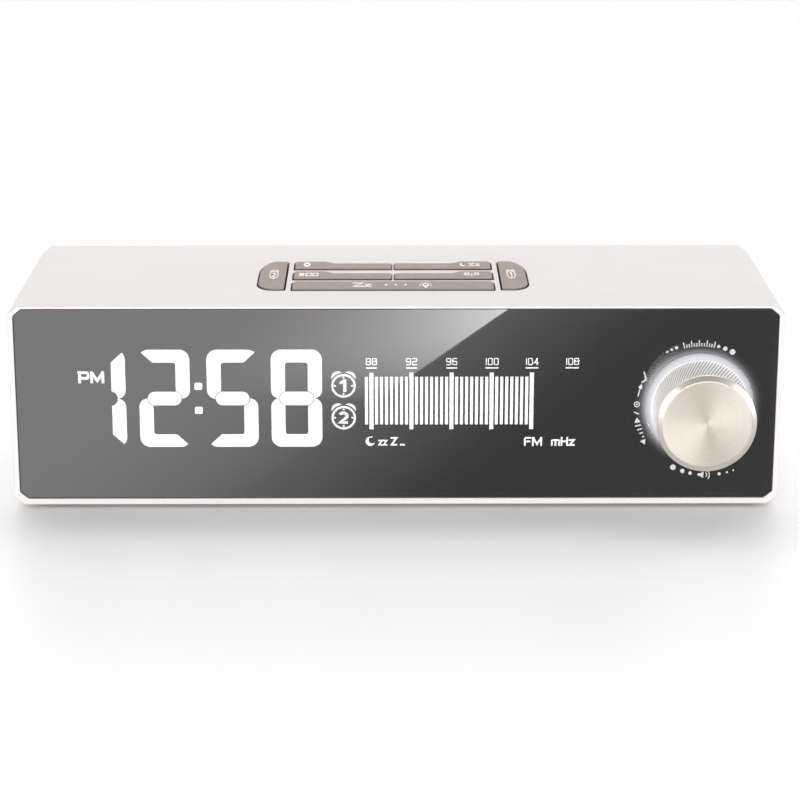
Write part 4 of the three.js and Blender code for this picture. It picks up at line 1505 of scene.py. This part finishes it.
def card_light():
    """The light on the card, worked out at the point of the lens where the photographer sees it."""
    made = Finish("card_light")
    made.nodes.remove(made.shader)
    count = made.count

    def fall(distance, reach, power):
        """1 at the edge, falling to 0 at the reach."""
        left = count("MAXIMUM", count("SUBTRACT", 1.0, count("DIVIDE", distance, reach)), 0.0)
        return count("POWER", left, power)

    to_mm = 1 / MM / (1 + MIRROR_SHARE)
    back = MIRROR_SHARE / (1 + MIRROR_SHARE)
    x = count("MULTIPLY_ADD", made.axis("X"), to_mm, CAMERA_PLACE.x * back)
    z = count("MULTIPLY_ADD", made.axis("Z"), to_mm, CAMERA_PLACE.z * back)
    slope = (EDGE_TOP[0] - EDGE_FOOT[0]) / (EDGE_TOP[1] - EDGE_FOOT[1])
    edge = count("MULTIPLY_ADD", z, slope, EDGE_FOOT[0] - EDGE_FOOT[1] * slope)
    beyond = count("SUBTRACT", x, edge)

    gain = count("MAXIMUM", count("MULTIPLY_ADD", z, 0.0215, 0.474 - 0.0215 * 56.8), -0.07)
    bright = count("MULTIPLY_ADD", gain, fall(count("MULTIPLY", beyond, -1.0), 90.0, 2.6), 0.179)
    reach = count("MULTIPLY_ADD", z, -0.2, 62.0)
    gain = count("MULTIPLY_ADD", z, -0.00035, 0.077)
    dim = count("MULTIPLY_ADD", gain, fall(beyond, reach, 1.3), 0.032)
    mixed = made.add("Mix", "Result", Factor=count("LESS_THAN", beyond, 0.0), A=dim, B=bright)
    light = made.add("Emission", "Emission", Strength=count("DIVIDE", mixed, LENS_MIRROR))
    made.feed(made.nodes["Material Output"], Surface=light)
    return made.material


def add_area_light(name, place, aim, size, power):
    data = bpy.data.lights.new(name, "AREA")
    data.shape = "RECTANGLE"
    data.size, data.size_y = size[0] * MM, size[1] * MM
    data.energy = power
    light = bpy.data.objects.new(name, data)
    light.location = Vector(place) * MM
    light.rotation_euler = (Vector(aim) - Vector(place)).to_track_quat("-Z", "Y").to_euler()
    bpy.context.scene.collection.objects.link(light)
    return light


def add_sky():
    """White surroundings: brightest low down, dimmer overhead and below the table."""
    world = bpy.data.worlds.new("studio")
    world.use_nodes = True
    sky = Nodes(world.node_tree)
    height = sky.axis("Z", "Generated")
    above = sky.spread(height, 1.14, 0.48, 0.2, 0.75)
    below = sky.spread(height, 0.8, 1.0, -0.2, 0.0)
    strength = sky.count("MULTIPLY", above, below)
    sky.feed(sky.nodes["Background"], Strength=strength, Color=(1, 1, 1, 1))
    bpy.context.scene.world = world


def add_knob_light(name, place, power):
    """A light that reaches only the knob and its face."""
    light = add_area_light(name, place, (84, -40, 30), (300, 170), power)
    lit_pieces = bpy.data.collections.new(f"{name}_lights")
    for lit_piece in ("knurled_knob", "spun_knob_face"):
        lit_pieces.objects.link(bpy.data.objects[lit_piece])
    light.light_linking.receiver_collection = lit_pieces


def add_lights():
    """Two lights above and behind for the shadow in front, one for the backdrop, two low ones far in
    front for the rim and the floor, and two for the knob alone."""
    add_sky()
    add_area_light("back_light_high", (0, 250, 1050), (0, 0, 0), (1400, 500), 3.3)
    add_area_light("back_light", (0, 560, 950), (0, 150, 0), (1400, 600), 3.1)
    add_area_light("backdrop_light", (0, 1500, 800), (0, 1000, 0), (2000, 500), 3.2)
    add_area_light("front_light_left", (-250, -1700, 130), (0, 0, 30), (1400, 200), 19)
    add_area_light("front_light_right", (950, -1600, 130), (60, 0, 30), (900, 200), 7.5)
    add_knob_light("knob_light_left", (-480, -330, 210), 3.2)
    add_knob_light("knob_light_right", (650, -260, 210), 3.4)
    bpy.context.scene.view_settings.view_transform = "Standard"


# ---------------------------------------------------------------- assembly

add_camera()
build_case()
build_feet()
build_battery_door()
build_rear_cover()
build_rear_screws()
build_grommet()
build_jack()
build_lens()
build_digits()
build_display_marks()
build_tuning_scale()
build_ring_print()
build_ring_light()
build_knob_body()
build_knob_face()
build_buttons()
dress_inside()
add_floor()
add_reflection_card()
add_lights()
